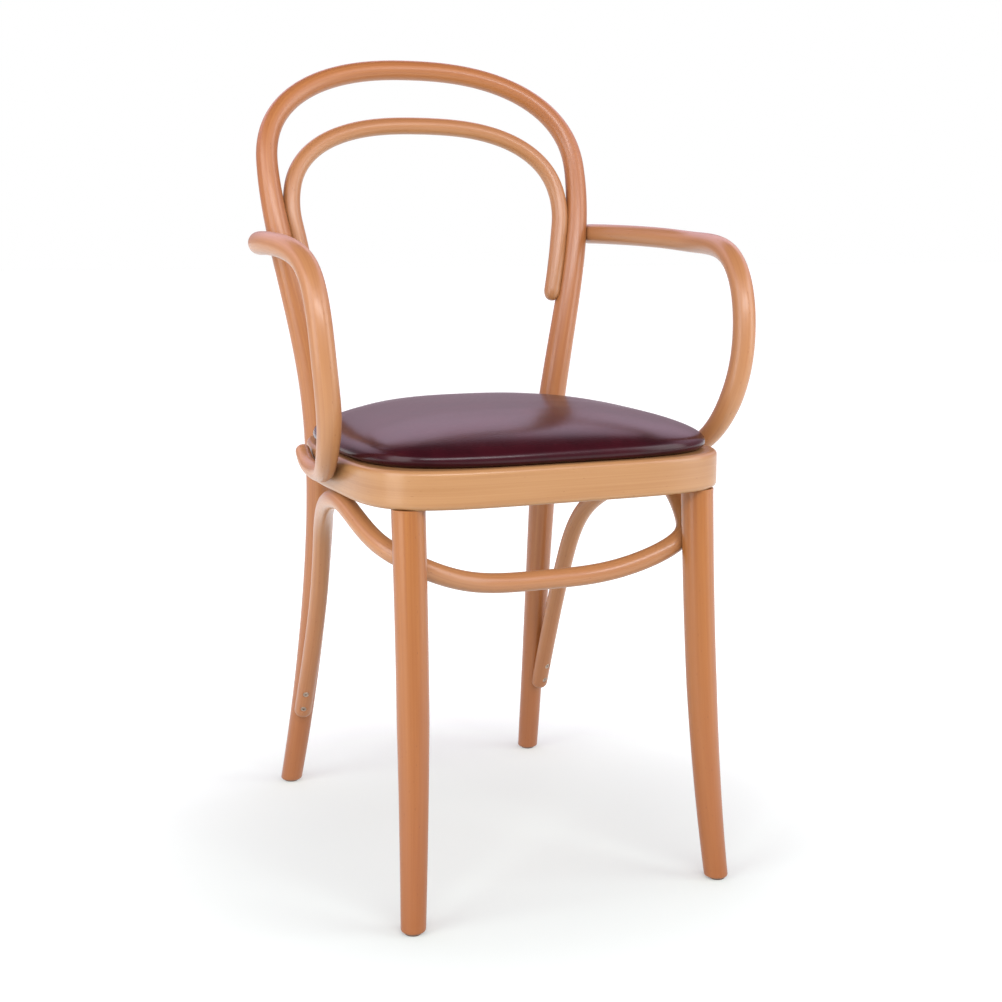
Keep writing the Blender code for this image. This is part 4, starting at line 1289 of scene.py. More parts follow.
@dataclass
class BackFrame:
    """The rear legs and the outer bow, bent from one rod."""

    ring: SeatRing
    height: float = 0.885
    half_width: float = 0.1937
    widest_height: float = 0.7555
    crown_squareness: float = 2.33
    waist_half_width: float = 0.1447
    waist_height: float = 0.355
    waist_hold: float = 1.3
    foot_half_width: float = 0.164
    spread_bend: float = 1.6
    lumbar_height: float = 0.53
    rake: float = 0.1014
    leg_bend: float = 1.67
    recline: float = 0.0755
    back_bend: float = 2.1
    arm_height: float = 0.6765
    radii: tuple[float, ...] = (0.0128, 0.0167, 0.0138, 0.0122, 0.0114)
    let_in: float = 0.0025
    foot_round: float = 0.003
    foot_run: float = 0.06
    steps: int = 560
    lumbar: float = field(init=False)
    half: np.ndarray = field(init=False)

    def __post_init__(self) -> None:
        """Works out how far back the rod stands, and its right half."""
        self.lumbar = self.stand()
        self.half = self.half_line()

    @property
    def crown(self) -> float:
        """Height of the rod's centre line at the top of the bow."""
        return self.height - self.radii[-1]

    def spread(self, height: float) -> float:
        """How far the two sides of the rod stand apart.

        Args:
            height: a height below the widest.

        Returns:
            Half the distance.
        """
        if height < self.waist_height:
            drop = (1 - height / self.waist_height) ** self.spread_bend
            return self.waist_half_width + (self.foot_half_width - self.waist_half_width) * drop
        rise = ((height - self.waist_height) / (self.widest_height - self.waist_height)) ** self.waist_hold
        widening = self.half_width - self.waist_half_width
        return self.waist_half_width + widening * rise * rise * (3 - 2 * rise)

    def lean(self, height: float) -> float:
        """How far back the rod lies.

        Args:
            height: any height on the rod.

        Returns:
            The distance behind the rod's foremost point.
        """
        if height < self.lumbar_height:
            return self.rake * ((self.lumbar_height - height) / self.lumbar_height) ** self.leg_bend
        share = (height - self.lumbar_height) / (self.crown - self.lumbar_height)
        return self.recline * share ** self.back_bend

    def radius(self, heights: np.ndarray) -> np.ndarray:
        """The rod's radius at heights."""
        marks = (0.0, self.ring.middle, self.arm_height, self.widest_height, self.crown)
        return np.interp(heights, marks, self.radii)

    def stand(self) -> float:
        """Works out where the rod stands, let into the back of the ring.

        Returns:
            Depth of the rod's foremost point.
        """
        ring = self.ring.outline(0.0, OUTLINE_FINE)
        spread = self.spread(self.ring.middle)
        wanted = float(self.radius(self.ring.middle)) - self.let_in
        rear = ring[(ring[:, 0] > 0.0) & (ring[:, 1] > self.ring.widest)]
        near = rear[np.argmin(np.abs(rear[:, 0] - spread)), 1]
        far = near + 4 * wanted
        for _ in range(HALVINGS):
            middle = (near + far) / 2
            if np.linalg.norm(ring - (spread, middle), axis=1).min() < wanted:
                near = middle
            else:
                far = middle
        return far - self.lean(self.ring.middle)

    def half_line(self) -> np.ndarray:
        """Works out the right half of the rod.

        Returns:
            Its centre line, from under the foot to the middle of the crown.
        """
        heights = np.linspace(-2 * self.foot_round, self.widest_height, LINE_FINE)
        line = [(self.spread(max(z, 0.0)), self.lumbar + self.lean(z), z) for z in heights]
        rise_to = self.crown - self.widest_height
        for angle in np.linspace(0.0, QUARTER_TURN, LINE_FINE)[1:]:
            x, rise = superellipse(angle, self.half_width, rise_to, self.crown_squareness)
            z = self.widest_height + rise
            line.append((x, self.lumbar + self.lean(z), z))
        line[-1] = (0.0, line[-1][1], line[-1][2])
        return np.array(line)

    def upright(self, height: float) -> np.ndarray:
        """The point of the rod's right side at a height below its widest."""
        return np.array((self.spread(height), self.lumbar + self.lean(height), height))

    def bend(self, floor: float) -> Bend:
        """The whole rod, both feet cut level.

        Args:
            floor: height of the cut.

        Returns:
            The rod from its left foot over the crown to its right foot.
        """
        half = even_points(self.half, self.steps // 2)
        planted = Bend(half, self.radius(half[:, 2])).planted(floor, self.foot_round, self.foot_run)
        points = mirrored(planted.points[::-1])
        radii = np.concatenate([planted.radii, planted.radii[-2::-1]])
        level = np.concatenate([planted.level, planted.level[-2::-1]])
        return Bend(points, radii, level)


@dataclass
class InnerBow:
    """The inner loop of the back, with its ends along the inner side of the rod."""

    rod: BackFrame
    top: float = 0.817
    radius: float = 0.0098
    widest_height: float = 0.705
    end_height: float = 0.613
    squareness: float = 2.5
    let_in: float = 0.0015
    behind: float = math.radians(5.0)
    nose: float = 1.3
    end_knots: int = 5
    top_knots: int = 7
    steps: int = 300

    def bend(self) -> Bend:
        """Works out the bow.

        Returns:
            The bow from its left end over its top to its right end.
        """
        beside = float(self.rod.radius(self.widest_height)) + self.radius - self.let_in
        inward = beside * math.cos(self.behind)
        behind = beside * math.sin(self.behind)
        half_width = self.rod.spread(self.widest_height) - inward
        knots = []
        for z in np.linspace(self.end_height, self.widest_height, self.end_knots)[:-1]:
            knots.append(self.rod.upright(z) + (-inward, behind, 0.0))
        rise_to = self.top - self.radius - self.widest_height
        for angle in np.linspace(0.0, QUARTER_TURN, self.top_knots):
            x, rise = superellipse(angle, half_width, rise_to, self.squareness)
            z = self.widest_height + rise
            knots.append((x, self.rod.lumbar + self.rod.lean(z) + behind * math.cos(angle), z))
        knots[-1] = (0.0, knots[-1][1], knots[-1][2])
        points = smooth_path(mirrored(knots[::-1]), self.steps)
        bend = Bend(points, np.full(len(points), self.radius))
        return bend.rounded(self.nose).turned_round().rounded(self.nose)


@dataclass
class FrontLeg:
    """A front leg: straight above, flared forward and outward below, with a tenon in the ring."""

    ring: SeatRing
    half_width: float = 0.1605
    rake: float = 0.025
    flare: float = 0.011
    spread: float = 0.0122
    spread_bend: float = 2.4
    radii: tuple[float, ...] = (0.0126, 0.0162, 0.0168)
    tenon_radius: float = 0.011
    tenon_length: float = 0.028
    tenon_shoulder: float = 0.00005
    tenon_chamfer: float = 0.001
    foot_round: float = 0.003
    foot_run: float = 0.05
    steps: int = 120

    def line(self) -> np.ndarray:
        """Works out the right leg.

        Returns:
            Its centre line, from under the foot to the ring.
        """
        wall = self.ring.outline(self.ring.wall / 2, OUTLINE_FINE)
        front = wall[(wall[:, 0] > 0.0) & (wall[:, 1] < self.ring.widest)]
        top = front[np.argmin(np.abs(front[:, 0] - self.half_width)), 1]
        collar = self.ring.underside - 2 * self.foot_round
        line = []
        for z in np.linspace(-2 * self.foot_round, self.ring.underside - CLEARANCE, self.steps):
            down = max(collar - z, 0.0) / collar
            x = self.half_width + self.spread * down ** self.spread_bend
            line.append((x, top - self.rake * down - self.flare * down ** 3, z))
        return np.array(line)

    def radius(self, heights: np.ndarray) -> np.ndarray:
        """The leg's radius at heights."""
        return np.interp(heights, (0.0, self.ring.underside / 2, self.ring.underside), self.radii)

    def bend(self, floor: float) -> Bend:
        """The right leg with its level foot and its tenon.

        Args:
            floor: height of the foot's cut.

        Returns:
            The leg from its foot to the end of its tenon.
        """
        line = self.line()
        leg = Bend(line, self.radius(line[:, 2])).planted(floor, self.foot_round, self.foot_run)
        shoulder = leg.points[-1]
        rises = np.array((self.tenon_shoulder, self.tenon_length - self.tenon_chamfer, self.tenon_length))
        tenon = shoulder + rises[:, None] * (0.0, 0.0, 1.0)
        thick = self.tenon_radius - np.array((0.0, 0.0, self.tenon_chamfer))
        level = np.concatenate([leg.level, np.zeros(len(rises))])
        return Bend(np.concatenate([leg.points, tenon]), np.concatenate([leg.radii, thick]), level)

    def sockets(self, sides: int) -> list[Object]:
        """The blind holes that the tenons need in the ring.

        Args:
            sides: how many sides a hole has.

        Returns:
            The two cutters.
        """
        wide = self.tenon_radius + CLEARANCE
        reach = self.tenon_length + CLEARANCE
        holes = []
        for side in Side:
            hole = turned("socket", [(0.0, reach), (wide, reach), (wide, -reach), (0.0, -reach)], sides)
            hole.data.transform(Matrix.Translation(Vector(side.place(self.line()[-1]))))
            holes.append(hole)
        return holes


@dataclass
class Arm:
    """An arm: from the outer side of the rod forward, down in a loop and back along the ring."""

    rod: BackFrame
    ring: SeatRing
    half_width: float = 0.2523
    widest: float = -0.026
    dip: float = 0.005
    mid_half_width: float = 0.2395
    mid: float = 0.028
    overhang: float = 0.007
    left_rise: float = -0.0070
    right_rise: float = 0.0045
    loop_centre: float = -0.060
    loop_reach: float = 0.1095
    loop_drop: float = 0.0075
    loop_squareness: float = 2.65
    upper_turns: tuple[float, ...] = (60.0, 32.0, 0.0)
    lower_turns: tuple[float, ...] = (28.0, 56.0)
    front_half_width: float = 0.2318
    shoulder_half_width: float = 0.2405
    seats: tuple[Pair, ...] = ((-0.072, 0.0), (-0.018, 0.003), (0.004, 0.0125))
    radius: float = 0.0118
    loop_radius: float = 0.0125
    tip_radius: float = 0.0080
    stations: tuple[float, ...] = (0.0, 0.35, 0.7, 1.0)
    let_in: float = 0.003
    steps: int = 280

    def bend(self, side: Side) -> Bend:
        """One arm from behind the rod to its tip on the ring, drawn on the right.

        Args:
            side: whose arm it is. Bent by hand, the two differ in how high they meet the rod.

        Returns:
            The bend.
        """
        height = self.rod.arm_height
        rise = self.left_rise if side is Side.LEFT else self.right_rise
        rod = self.rod.upright(height + rise)
        beside = rod[0] + float(self.rod.radius(height + rise)) + self.radius - self.let_in
        loop_top = height - self.loop_drop
        loop_height = (self.ring.middle + loop_top) / 2
        knots = [
            (beside, rod[1] + self.overhang, height + rise),
            (beside, rod[1], height + rise),
            (self.mid_half_width, self.mid, height + (rise - self.dip) / 2),
            (self.half_width, self.widest, height - self.dip),
        ]
        for degrees in self.upper_turns:
            forward, rise = superellipse(
                math.radians(degrees), self.loop_reach, loop_top - loop_height, self.loop_squareness)
            share = degrees / self.upper_turns[0]
            x = self.front_half_width + (self.shoulder_half_width - self.front_half_width) * share
            knots.append((x, self.loop_centre - forward, loop_height + rise))
        foot = self.ring.side(self.seats[0][0])[0] + self.radius - self.let_in
        for degrees in self.lower_turns:
            forward = self.loop_reach * math.cos(math.radians(degrees))
            fall = (loop_height - self.ring.middle) * math.sin(math.radians(degrees))
            x = self.front_half_width + (foot - self.front_half_width) * degrees / 90.0
            knots.append((x, self.loop_centre - forward, loop_height - fall))
        for depth, rise in self.seats:
            across = self.ring.side(depth)[0] + self.radius - self.let_in
            knots.append((across, depth, self.ring.middle + rise))
        points = smooth_path(knots, self.steps)
        along = np.linspace(0.0, 1.0, len(points))
        radii = np.interp(along, self.stations, (self.radius, self.radius, self.loop_radius, self.tip_radius))
        return Bend(points, radii).rounded().turned_round().rounded().turned_round()


@dataclass
class LegBrace:
    """The long brace from rear leg to rear leg, under the ring and behind the front legs."""

    ring: SeatRing
    rod: BackFrame
    leg: FrontLeg
    radius: float = 0.0103
    front: float = -0.1715
    front_drop: float = 0.091
    quarter: Triple = (0.085, -0.1755, 0.085)
    leg_drop: float = 0.058
    leg_turn: float = math.radians(20.0)
    corner: Triple = (0.1765, -0.148, 0.040)
    arch_half_width: float = 0.1885
    arch: float = -0.088
    arch_length: float = 0.038
    shoulder: Triple = (0.1665, 0.0665, 0.062)
    shin: Triple = (0.1578, 0.1125, 0.1385)
    end_height: float = 0.105
    end_turn: float = math.radians(14.0)
    leg_let_in: float = 0.0015
    end_let_in: float = 0.0075
    arch_rounds: int = 6
    steps: int = 520

    def hung(self, place: Triple) -> Triple:
        """A point given by its half width, its depth and its drop below the ring."""
        return place[0], place[1], self.ring.underside - place[2]

    def knots(self, arch: float) -> list:
        """The knots of the right half, from the front middle to the rear leg.

        Args:
            arch: height of the top of the arch.

        Returns:
            The knots.
        """
        height = self.ring.underside - self.leg_drop
        leg = at_height(self.leg.line(), height)
        off_leg = float(self.leg.radius(height)) + self.radius - self.leg_let_in
        rear = self.rod.upright(self.end_height)
        off_rear = float(self.rod.radius(self.end_height)) + self.radius - self.end_let_in
        return [
            self.hung((0.0, self.front, self.front_drop)),
            self.hung(self.quarter),
            leg + off_leg * np.array((-math.sin(self.leg_turn), math.cos(self.leg_turn), 0.0)),
            self.hung(self.corner),
            (self.arch_half_width, self.arch, arch),
            (self.arch_half_width, self.arch + self.arch_length, arch),
            self.hung(self.shoulder),
            self.hung(self.shin),
            rear + off_rear * np.array((math.sin(self.end_turn), -math.cos(self.end_turn), 0.0)),
        ]

    def bend(self) -> Bend:
        """Works out the whole brace, with the top of its arch just under the ring.

        Returns:
            The brace from its left end to its right end.
        """
        wanted = self.ring.underside - CLEARANCE - self.radius
        arch = wanted
        for _ in range(self.arch_rounds):
            line = smooth_path(mirrored(self.knots(arch)), self.steps)
            arch += wanted - line[:, 2].max()
        return Bend(line, np.full(len(line), self.radius)).rounded().turned_round().rounded()


@dataclass
class SeatPad:
    """The leather pulled over the pad's foam and board, and tacked under the board."""

    ring: SeatRing
    leather: float = 0.0012
    squareness: Pair = (3.6, 2.6)
    edge_inset: float = 0.0095
    bulge: float = 0.005
    bulge_height: float = 0.0080
    crown: float = 0.0452
    slack: float = 0.0035
    dome_squareness: float = 2.4
    hem: float = 0.010
    hem_shares: tuple[float, ...] = (0.25, 0.6, 1.0)
    rings: int = 44
    ring_ease: float = 1.5
    side_steps: int = 7
    turn_steps: int = 3
    frames: int = 20
    pressure: float = 4.0
    most_motion: float = 0.008
    tight_rounds: int = 90
    ripple: float = 0.00022
    ripple_across: float = 0.11
    ripple_along: float = 0.026
    ripple_ease: float = 2.0

    CLOTH = {"quality": 8, "mass": 0.4, "tension_stiffness": 30.0, "compression_stiffness": 30.0,
             "shear_stiffness": 15.0, "bending_stiffness": 2.0, "vertex_group_mass": "held"}

    @property
    def base(self) -> float:
        """Height of the leather's lower face on the ring."""
        return self.ring.top + CLEARANCE

    def rows(self) -> list[Pair]:
        """Works out the leather's side, from its widest line down and under.

        Returns:
            Each row's inset and height.
        """
        rows = []
        for turn in np.linspace(0.0, QUARTER_TURN, self.side_steps + 1)[1:]:
            inset = self.edge_inset - self.bulge * math.cos(turn)
            rise = (self.bulge_height - self.leather) * (1.0 - math.sin(turn))
            rows.append((inset, self.base + self.leather + rise))
        for turn in np.linspace(0.0, QUARTER_TURN, self.turn_steps + 1)[1:]:
            rows.append((self.edge_inset + self.leather * (1.0 - math.cos(turn)),
                         self.base + self.leather * (1.0 - math.sin(turn))))
        for share in self.hem_shares:
            rows.append((self.edge_inset + self.leather + share * (self.hem - self.leather), self.base))
        return rows

    def skin(self, crown: float) -> tuple[Object, list[int]]:
        """The leather's outer face: a crown laid out in square rings, so that it has no pole, and the side.

        Args:
            crown: height of the crown above the ring.

        Returns:
            The open skin, and which of its points lie on the crown inside the widest line.
        """
        count = 8 * self.rings
        rim = self.ring.outline(self.edge_inset - self.bulge, count, self.squareness)
        centre = np.array((0.0, (rim[0, 1] + rim[count // 2, 1]) / 2))
        points = {}
        skin = []
        for a in range(-self.rings, self.rings + 1):
            for b in range(-self.rings, self.rings + 1):
                step = max(abs(a), abs(b))
                share = 1.0 - (1.0 - step / self.rings) ** self.ring_ease
                turn = self.lap(a, b) * self.rings / max(step, 1)
                low = int(turn) % count
                edge = rim[low] + (turn - int(turn)) * (rim[(low + 1) % count] - rim[low])
                rise = (crown - self.bulge_height) * math.sqrt(max(1.0 - share ** self.dome_squareness, 0.0))
                points[a, b] = len(skin)
                skin.append((*(centre + share * (edge - centre)), self.base + self.bulge_height + rise))
        faces = []
        for a in range(-self.rings, self.rings):
            for b in range(-self.rings, self.rings):
                faces.append((points[a, b], points[a + 1, b], points[a + 1, b + 1], points[a, b + 1]))
        free = [points[a, b] for a, b in points if max(abs(a), abs(b)) < self.rings]
        border = sorted((key for key in points if max(abs(key[0]), abs(key[1])) == self.rings),
                        key=lambda key: self.lap(*key))
        above = [points[key] for key in border]
        for inset, height in self.rows():
            row = self.ring.outline(inset, count, self.squareness)
            start = len(skin)
            skin += [(x, y, height) for x, y in row]
            below = list(range(start, start + count))
            for i in range(count):
                after = (i + 1) % count
                faces.append((above[after], above[i], below[i], below[after]))
            above = below
        mesh = bpy.data.meshes.new("pulled_leather")
        mesh.from_pydata(skin, [], faces)
        cover = add_object("pulled_leather", mesh)
        held = cover.vertex_groups.new(name="held")
        held.add(sorted(set(range(len(skin))) - set(free)), 1.0, "REPLACE")
        return cover, free

    def lap(self, a: int, b: int) -> float:
        """How far round its square ring a point of the crown lies.

        Args:
            a: the point's column, from the middle to the right.
            b: the point's row, from the middle to the back.

        Returns:
            How many steps from the front middle by the right.
        """
        step = max(abs(a), abs(b))
        if step == 0:
            return 0.0
        if b == -step and a >= 0:
            return a
        if a == step:
            return 2 * step + b
        if b == step:
            return 4 * step - a
        if a == -step:
            return 6 * step - b
        return 8 * step + a

    def pull(self, cover: Object, free: list[int]) -> None:
        """Lets the filling press the leather out, held at its edge, for a few frames of cloth.

        Args:
            cover: the leather's open skin.
            free: the points that aren't held.
        """
        before = np.array([point.co for point in cover.data.vertices])
        cloth = cover.modifiers.new("leather_pull", "CLOTH")
        for name, value in self.CLOTH.items():
            setattr(cloth.settings, name, value)
        cloth.settings.use_pressure = True
        cloth.settings.uniform_pressure_force = self.pressure
        cloth.settings.effector_weights.gravity = 0.0
        cloth.collision_settings.use_collision = False
        cloth.point_cache.frame_start = 1
        cloth.point_cache.frame_end = self.frames
        for step in range(1, self.frames + 1):
            bpy.context.scene.frame_set(step)
        pulled = plain_mesh(cover)
        bpy.context.scene.frame_set(1)
        after = np.array([point.co for point in pulled.vertices])
        move = after - before
        reach = np.linalg.norm(move, axis=1, keepdims=True)
        move *= np.minimum(1.0, self.most_motion / np.maximum(reach, MERGE))
        move = self.drawn_tight(cover.data, move, free)
        LOG.info("leather pulled out by up to %.1f mm", 1e3 * float(np.linalg.norm(move, axis=1).max()))
        cover.data.vertices.foreach_set("co", (before + move).ravel())
        cover.data.update()

    def drawn_tight(self, mesh: Mesh, move: np.ndarray, free: list[int]) -> np.ndarray:
        """Spreads each free point's motion over its neighbours, so that taut leather keeps no fold.

        Args:
            mesh: the leather's mesh.
            move: each point's motion.
            free: the points that aren't held.

        Returns:
            The motion without folds.
        """
        ends = np.empty(2 * len(mesh.edges), int)
        mesh.edges.foreach_get("vertices", ends)
        first, second = ends.reshape(-1, 2).T
        count = np.bincount(ends, minlength=len(move))[:, None]
        for _ in range(self.tight_rounds):
            near = np.zeros_like(move)
            np.add.at(near, first, move[second])
            np.add.at(near, second, move[first])
            move[free] = (near / count)[free]
        return move

    def ruffle(self, cover: Object, free: list[int]) -> None:
        """Gives the crown the faint waves of leather drawn over foam.

        Args:
            cover: the leather's open skin.
            free: the points that aren't held.
        """
        top = max(point.co.z for point in cover.data.vertices)
        low = self.base + self.bulge_height
        for number in free:
            point = cover.data.vertices[number]
            share = (point.co.z - low) / (top - low)
            at = Vector((point.co.x / self.ripple_across, point.co.y / self.ripple_along, 0.0))
            point.co.z += self.ripple * noise.noise(at) * min(1.0, self.ripple_ease * share)
        cover.data.update()

    def build(self, material: Material) -> None:
        """Makes the pad's cover and hands it to the frame.

        Args:
            material: the leather.
        """
        cover, free = self.skin(self.crown - self.slack)
        self.pull(cover, free)
        self.ruffle(cover, free)
        cover.vertex_groups.clear()
        wall = cover.modifiers.new("leather", "SOLIDIFY")
        wall.thickness = self.leather
        wall.offset = -1.0
        fine = cover.modifiers.new("fine", "SUBSURF")
        fine.levels = fine.render_levels = 1
        cover.data = shaded(plain_mesh(cover))
        cover.data.materials.append(material)
        settle(cover, Slot.LEATHER, ["seat_cover", "seat_foam"])


class Tone(Enum):
    """The tones of the beech, each with its paler and its deeper colour."""

    GOLDEN = ("#A97F52", "#9A6E43")
    AMBER = ("#A06731", "#8F5525")
    HONEY = ("#A87040", "#955B31")
    TAN = ("#AC7B4F", "#9B6941")

    def material(self) -> Material:
        """The lacquered beech of this tone."""
        pale, deep = self.value
        return Beech(name=f"{self.name.lower()}_lacquered_beech", pale=pale, deep=deep).material()


@dataclass
class Chair:
    """The whole chair, put together from its sub-assemblies."""

    ring: SeatRing
    rod: BackFrame
    bow: InnerBow
    leg: FrontLeg
    arm: Arm
    brace: LegBrace
    pad: SeatPad
    fixings: Fixings
    rod_sides: int = 48

    @classmethod
    def designed(cls) -> "Chair":
        """Puts the design together.

        Returns:
            The chair with every size as measured.
        """
        ring = SeatRing()
        rod = BackFrame(ring)
        leg = FrontLeg(ring)
        return cls(ring, rod, InnerBow(rod), leg, Arm(rod, ring), LegBrace(ring, rod, leg), SeatPad(ring),
                   Fixings())

    def build(self) -> None:
        """Builds, cuts and dresses every piece."""
        sweep = Sweep()
        setter = SetOut()
        turns = np.linspace(0.0, 2 * math.pi, self.rod_sides, endpoint=False)
        circle = line_object("round_section", [(math.cos(t), math.sin(t), 0.0) for t in turns], closed=True)
        wood = {tone: tone.material() for tone in Tone}
        self.fixings.read()
        floor = self.fixings.glide_height
        rod_bend = self.rod.bend(floor)
        leg_bend = self.leg.bend(floor)
        rod_seat = sweep.carry("rod_seat", rod_bend.grown(CLEARANCE), circle, None)
        ring_seat = self.ring.sweep("ring_seat", sweep, None, CLEARANCE)
        leg_seats = [sweep.carry("leg_seat", leg_bend.on(side).grown(CLEARANCE), circle, None)
                     for side in Side]
        sockets = self.leg.sockets(self.rod_sides)
        wells = {
            "brace": self.fixings.wells(setter, ("brace_end", "brace_leg", "brace_ring")),
            "bow": self.fixings.wells(setter, ("arm_bow", "inner_bow")),
            "ring": self.fixings.wells(setter, ("arm_ring", "seat_screw")),
        }
        pieces = [
            ("back_frame", rod_bend, wood[Tone.HONEY], []),
            ("inner_bow", self.bow.bend(), wood[Tone.TAN], [rod_seat, wells["bow"]]),
            ("leg_brace", self.brace.bend(), wood[Tone.TAN], [rod_seat, *leg_seats, wells["brace"]]),
        ]
        for side in Side:
            pieces.append((f"front_leg_{side.word}", leg_bend.on(side), wood[Tone.AMBER], []))
            arm_bend = self.arm.bend(side).on(side)
            pieces.append((f"arm_{side.word}", arm_bend, wood[Tone.TAN], [rod_seat, ring_seat]))
        for node, bend, finish, cutters in pieces:
            piece = sweep.carry("bent_" + node, bend, circle, finish)
            self.finish_wood(piece, node, cutters)
        ring = self.ring.sweep("bent_seat_ring", sweep, wood[Tone.GOLDEN], 0.0)
        self.finish_wood(ring, "seat_ring", [rod_seat, *sockets, wells["ring"]])
        self.fixings.build(setter, Steel().material(), Nylon().material())
        self.pad.build(Leather().material())
        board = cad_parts["seat_board"]
        board.data.materials.clear()
        board.data.materials.append(Plywood().material())
        LOG.info("seat_board: keeps its packed shape")
        discard([circle, rod_seat, ring_seat, *leg_seats, *sockets, *wells.values()])

    def finish_wood(self, piece: Object, node: str, cutters: list[Object]) -> None:
        """Cuts a wooden piece for its neighbours and hands it to the frame.

        Args:
            piece: the swept piece.
            node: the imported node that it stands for.
            cutters: the shapes to take out of it.
        """
        finish = piece.data.materials[0]
        if cutters:
            carve(piece, cutters)
            piece.data.materials.clear()
            piece.data.materials.append(finish)
            for face in piece.data.polygons:
                face.material_index = 0
            shaded(piece.data)
        settle(piece, Slot.BEECH, [node])


# Studio

@dataclass(frozen=True)
class Softbox:
    """A soft light: where it hangs, how large it is and how bright its face is."""

    name: str
    place: Triple
    size: Pair
    brightness: float
    aim: Triple = (0.0, 0.0, 0.5)

    def hang(self) -> None:
        """Hangs the light, facing its aim."""
        data = bpy.data.lights.new(self.name, "AREA")
        data.shape = "RECTANGLE"
        data.size, data.size_y = self.size
        data.energy = self.brightness * math.pi * self.size[0] * self.size[1]
        lamp = bpy.data.objects.new(self.name, data)
        lamp.location = self.place
        lamp.rotation_euler = (Vector(self.aim) - Vector(self.place)).to_track_quat("-Z", "Y").to_euler()
        bpy.context.scene.collection.objects.link(lamp)


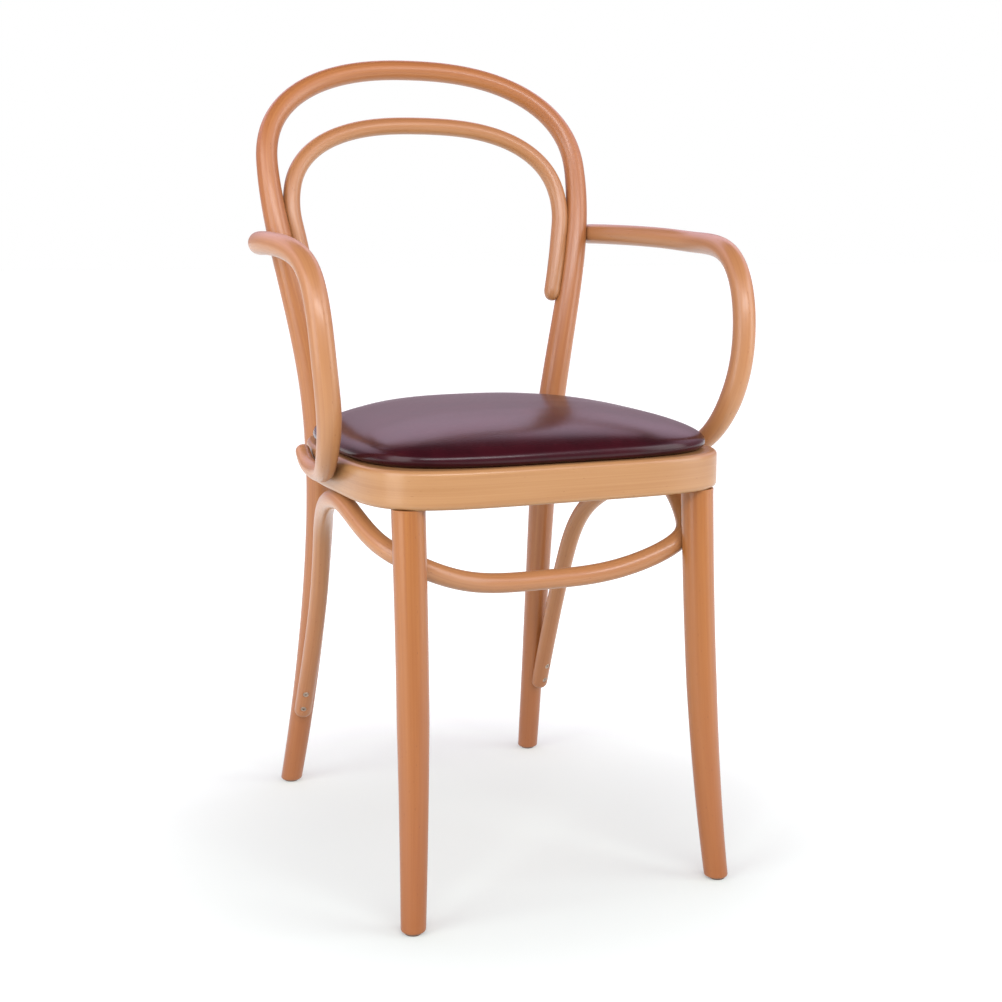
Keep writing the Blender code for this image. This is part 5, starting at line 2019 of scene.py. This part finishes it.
@dataclass
class Studio:
    """A pale floor that glows though it is no lamp, dimmer under the chair as a painted shadow; soft light
    and the camera.
    """

    azimuth: float = math.radians(-23.19)
    elevation: float = math.radians(9.66)
    place: Triple = (-0.661, -1.5985, 0.678)
    lens: float = 55.86
    sensor: float = 36.0
    floor_reach: float = 30.0
    floor_cells: int = 8
    floor_colour: str = "#C0CEC7"
    floor_roughness: float = 0.9
    floor_specular: float = 0.1
    # The floor's glow is painted light: it dips round its centre to paint the shadow under the chair, and
    # rises away from it
    glow_centre: Triple = (-0.02, -0.06, 0.0)
    glow_near: float = 0.15
    glow_far: float = 0.80
    glow_from: float = 0.15
    glow_to: float = 0.80
    glow_start: float = -1.1
    glow_full: float = -0.6
    white: str = "#FFFFFF"
    backdrop: float = 1.0
    backdrop_from: float = -0.5
    backdrop_to: float = 0.6
    front: float = 0.62
    lower_wall: str = "#C4AEBC"
    upper_wall: str = "#F3D5EC"
    ceiling: str = "#3C383A"
    wall_heights: tuple[float, ...] = (0.19, 0.46, 0.66, 0.74)
    upper_gain: float = 2.3
    gain_from: float = 0.16
    gain_to: float = 0.62
    lights: tuple[Softbox, ...] = (
        Softbox("left_softbox", (-2.2, -0.7, 1.1), (1.5, 2.2), 3.6),
        Softbox("right_softbox", (2.0, -1.5, 1.2), (1.3, 2.0), 3.6),
        Softbox("front_softbox", (-0.5, -2.6, 2.0), (3.4, 0.6), 11.0),
    )

    def build(self) -> None:
        """Makes the floor, the lights, the surroundings and the camera."""
        self.build_floor()
        self.build_world()
        for light in self.lights:
            light.hang()
        self.build_camera()
        bpy.context.scene.view_settings.view_transform = "Standard"

    @property
    def behind(self) -> Triple:
        """The level way from the camera's place to the wall behind the chair."""
        return -math.sin(self.azimuth), math.cos(self.azimuth), 0.0

    def build_floor(self) -> None:
        """Lays the floor, which glows though it is no lamp: less near the chair, as a painted shadow, more
        away from it, and not at all in front of it.
        """
        mesh = bpy.data.meshes.new("floor")
        with edited(mesh) as shape:
            bmesh.ops.create_grid(shape, x_segments=self.floor_cells, y_segments=self.floor_cells,
                                  size=self.floor_reach)
        finish = bpy.data.materials.new("backlit_white_acrylic")
        finish.use_nodes = True
        tree = finish.node_tree
        place = add_node(tree, "ShaderNodeTexCoord").outputs["Object"]
        off = add_node(tree, "ShaderNodeVectorMath", {"operation": "DISTANCE"}, {
            0: place, 1: self.glow_centre})
        # Painted shadow: the glow is lowest round the chair and grows away from it
        glow = add_node(tree, "ShaderNodeMapRange", EASED, {
            "Value": off.outputs["Value"], "From Min": self.glow_from, "From Max": self.glow_to,
            "To Min": self.glow_near, "To Max": self.glow_far})
        behind = add_node(tree, "ShaderNodeVectorMath", {"operation": "DOT_PRODUCT"}, {
            0: place, 1: self.behind})
        front_fade = add_node(tree, "ShaderNodeMapRange", EASED, {
            "Value": behind.outputs["Value"], "From Min": self.glow_start, "From Max": self.glow_full})
        lit = add_node(tree, "ShaderNodeMath", {"operation": "MULTIPLY"}, {
            0: glow.outputs[0], 1: front_fade.outputs[0]})
        feed(tree, tree.nodes["Principled BSDF"], {
            "Emission Strength": lit.outputs[0], "Emission Color": linear(self.white),
            "Base Color": linear(self.floor_colour), "Roughness": self.floor_roughness,
            "Specular IOR Level": self.floor_specular})
        mesh.materials.append(finish)
        floor = add_object("floor", mesh)
        floor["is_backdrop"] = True

    def build_world(self) -> None:
        """Surrounds the chair with a bright wall behind and beside, a dim room in front and a dark ceiling.

        That room lights the chair and is mirrored in it. The camera itself sees plain white paper.
        """
        world = bpy.data.worlds.new("studio_surroundings")
        bpy.context.scene.world = world
        world.use_nodes = True
        tree = world.node_tree
        way = add_node(tree, "ShaderNodeTexCoord").outputs["Generated"]
        height = add_node(tree, "ShaderNodeSeparateXYZ", inputs={0: way}).outputs["Z"]
        facing = add_node(tree, "ShaderNodeVectorMath", {"operation": "DOT_PRODUCT"}, {
            0: way, 1: self.behind})
        wall = add_node(tree, "ShaderNodeMapRange", EASED, {
            "Value": facing.outputs["Value"], "From Min": self.backdrop_from, "From Max": self.backdrop_to,
            "To Min": self.front, "To Max": self.backdrop})
        colours = (self.lower_wall, self.upper_wall, self.upper_wall, self.ceiling)
        colour = add_node(tree, "ShaderNodeValToRGB", {"stops": list(zip(self.wall_heights, colours))}, {
            "Fac": height})
        gain = add_node(tree, "ShaderNodeMapRange", EASED, {
            "Value": height, "From Min": self.gain_from, "From Max": self.gain_to,
            "To Min": 1.0, "To Max": self.upper_gain})
        light = add_node(tree, "ShaderNodeMath", {"operation": "MULTIPLY"}, {
            0: wall.outputs[0], 1: gain.outputs[0]})
        room = tree.nodes["Background"]
        feed(tree, room, {"Color": colour.outputs["Color"], "Strength": light.outputs[0]})
        paper = add_node(tree, "ShaderNodeBackground", inputs={"Color": linear(self.white), "Strength": 1.0})
        ray = add_node(tree, "ShaderNodeLightPath")
        shown = add_node(tree, "ShaderNodeMixShader", inputs={
            0: ray.outputs["Is Camera Ray"], 1: room.outputs[0], 2: paper.outputs[0]})
        feed(tree, tree.nodes["World Output"], {"Surface": shown.outputs[0]})

    def build_camera(self) -> None:
        """Stands the camera where the photograph was taken from."""
        data = bpy.data.cameras.new("camera")
        data.sensor_width = self.sensor
        data.lens = self.lens
        camera = bpy.data.objects.new("camera", data)
        back = Vector((math.sin(self.azimuth) * math.cos(self.elevation),
                       -math.cos(self.azimuth) * math.cos(self.elevation), math.sin(self.elevation)))
        right = Vector((0.0, 0.0, 1.0)).cross(back).normalized()
        turn = Matrix((right, back.cross(right), back)).transposed()
        camera.matrix_world = Matrix.Translation(Vector(self.place)) @ turn.to_4x4()
        bpy.context.scene.collection.objects.link(camera)
        bpy.context.scene.camera = camera


def write_sizes() -> None:
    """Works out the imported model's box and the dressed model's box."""
    boxes = {"cad": CAD_BOX, "visual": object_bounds()}
    plain = {name: [[float(value) for value in corner] for corner in box] for name, box in boxes.items()}


def main() -> None:
    """Builds the chair and its studio, and reports each piece."""
    logging.basicConfig(level=logging.INFO, format="%(name)s: %(message)s")
    Chair.designed().build()
    Studio().build()
    write_sizes()


if __name__ == "__main__":
    main()
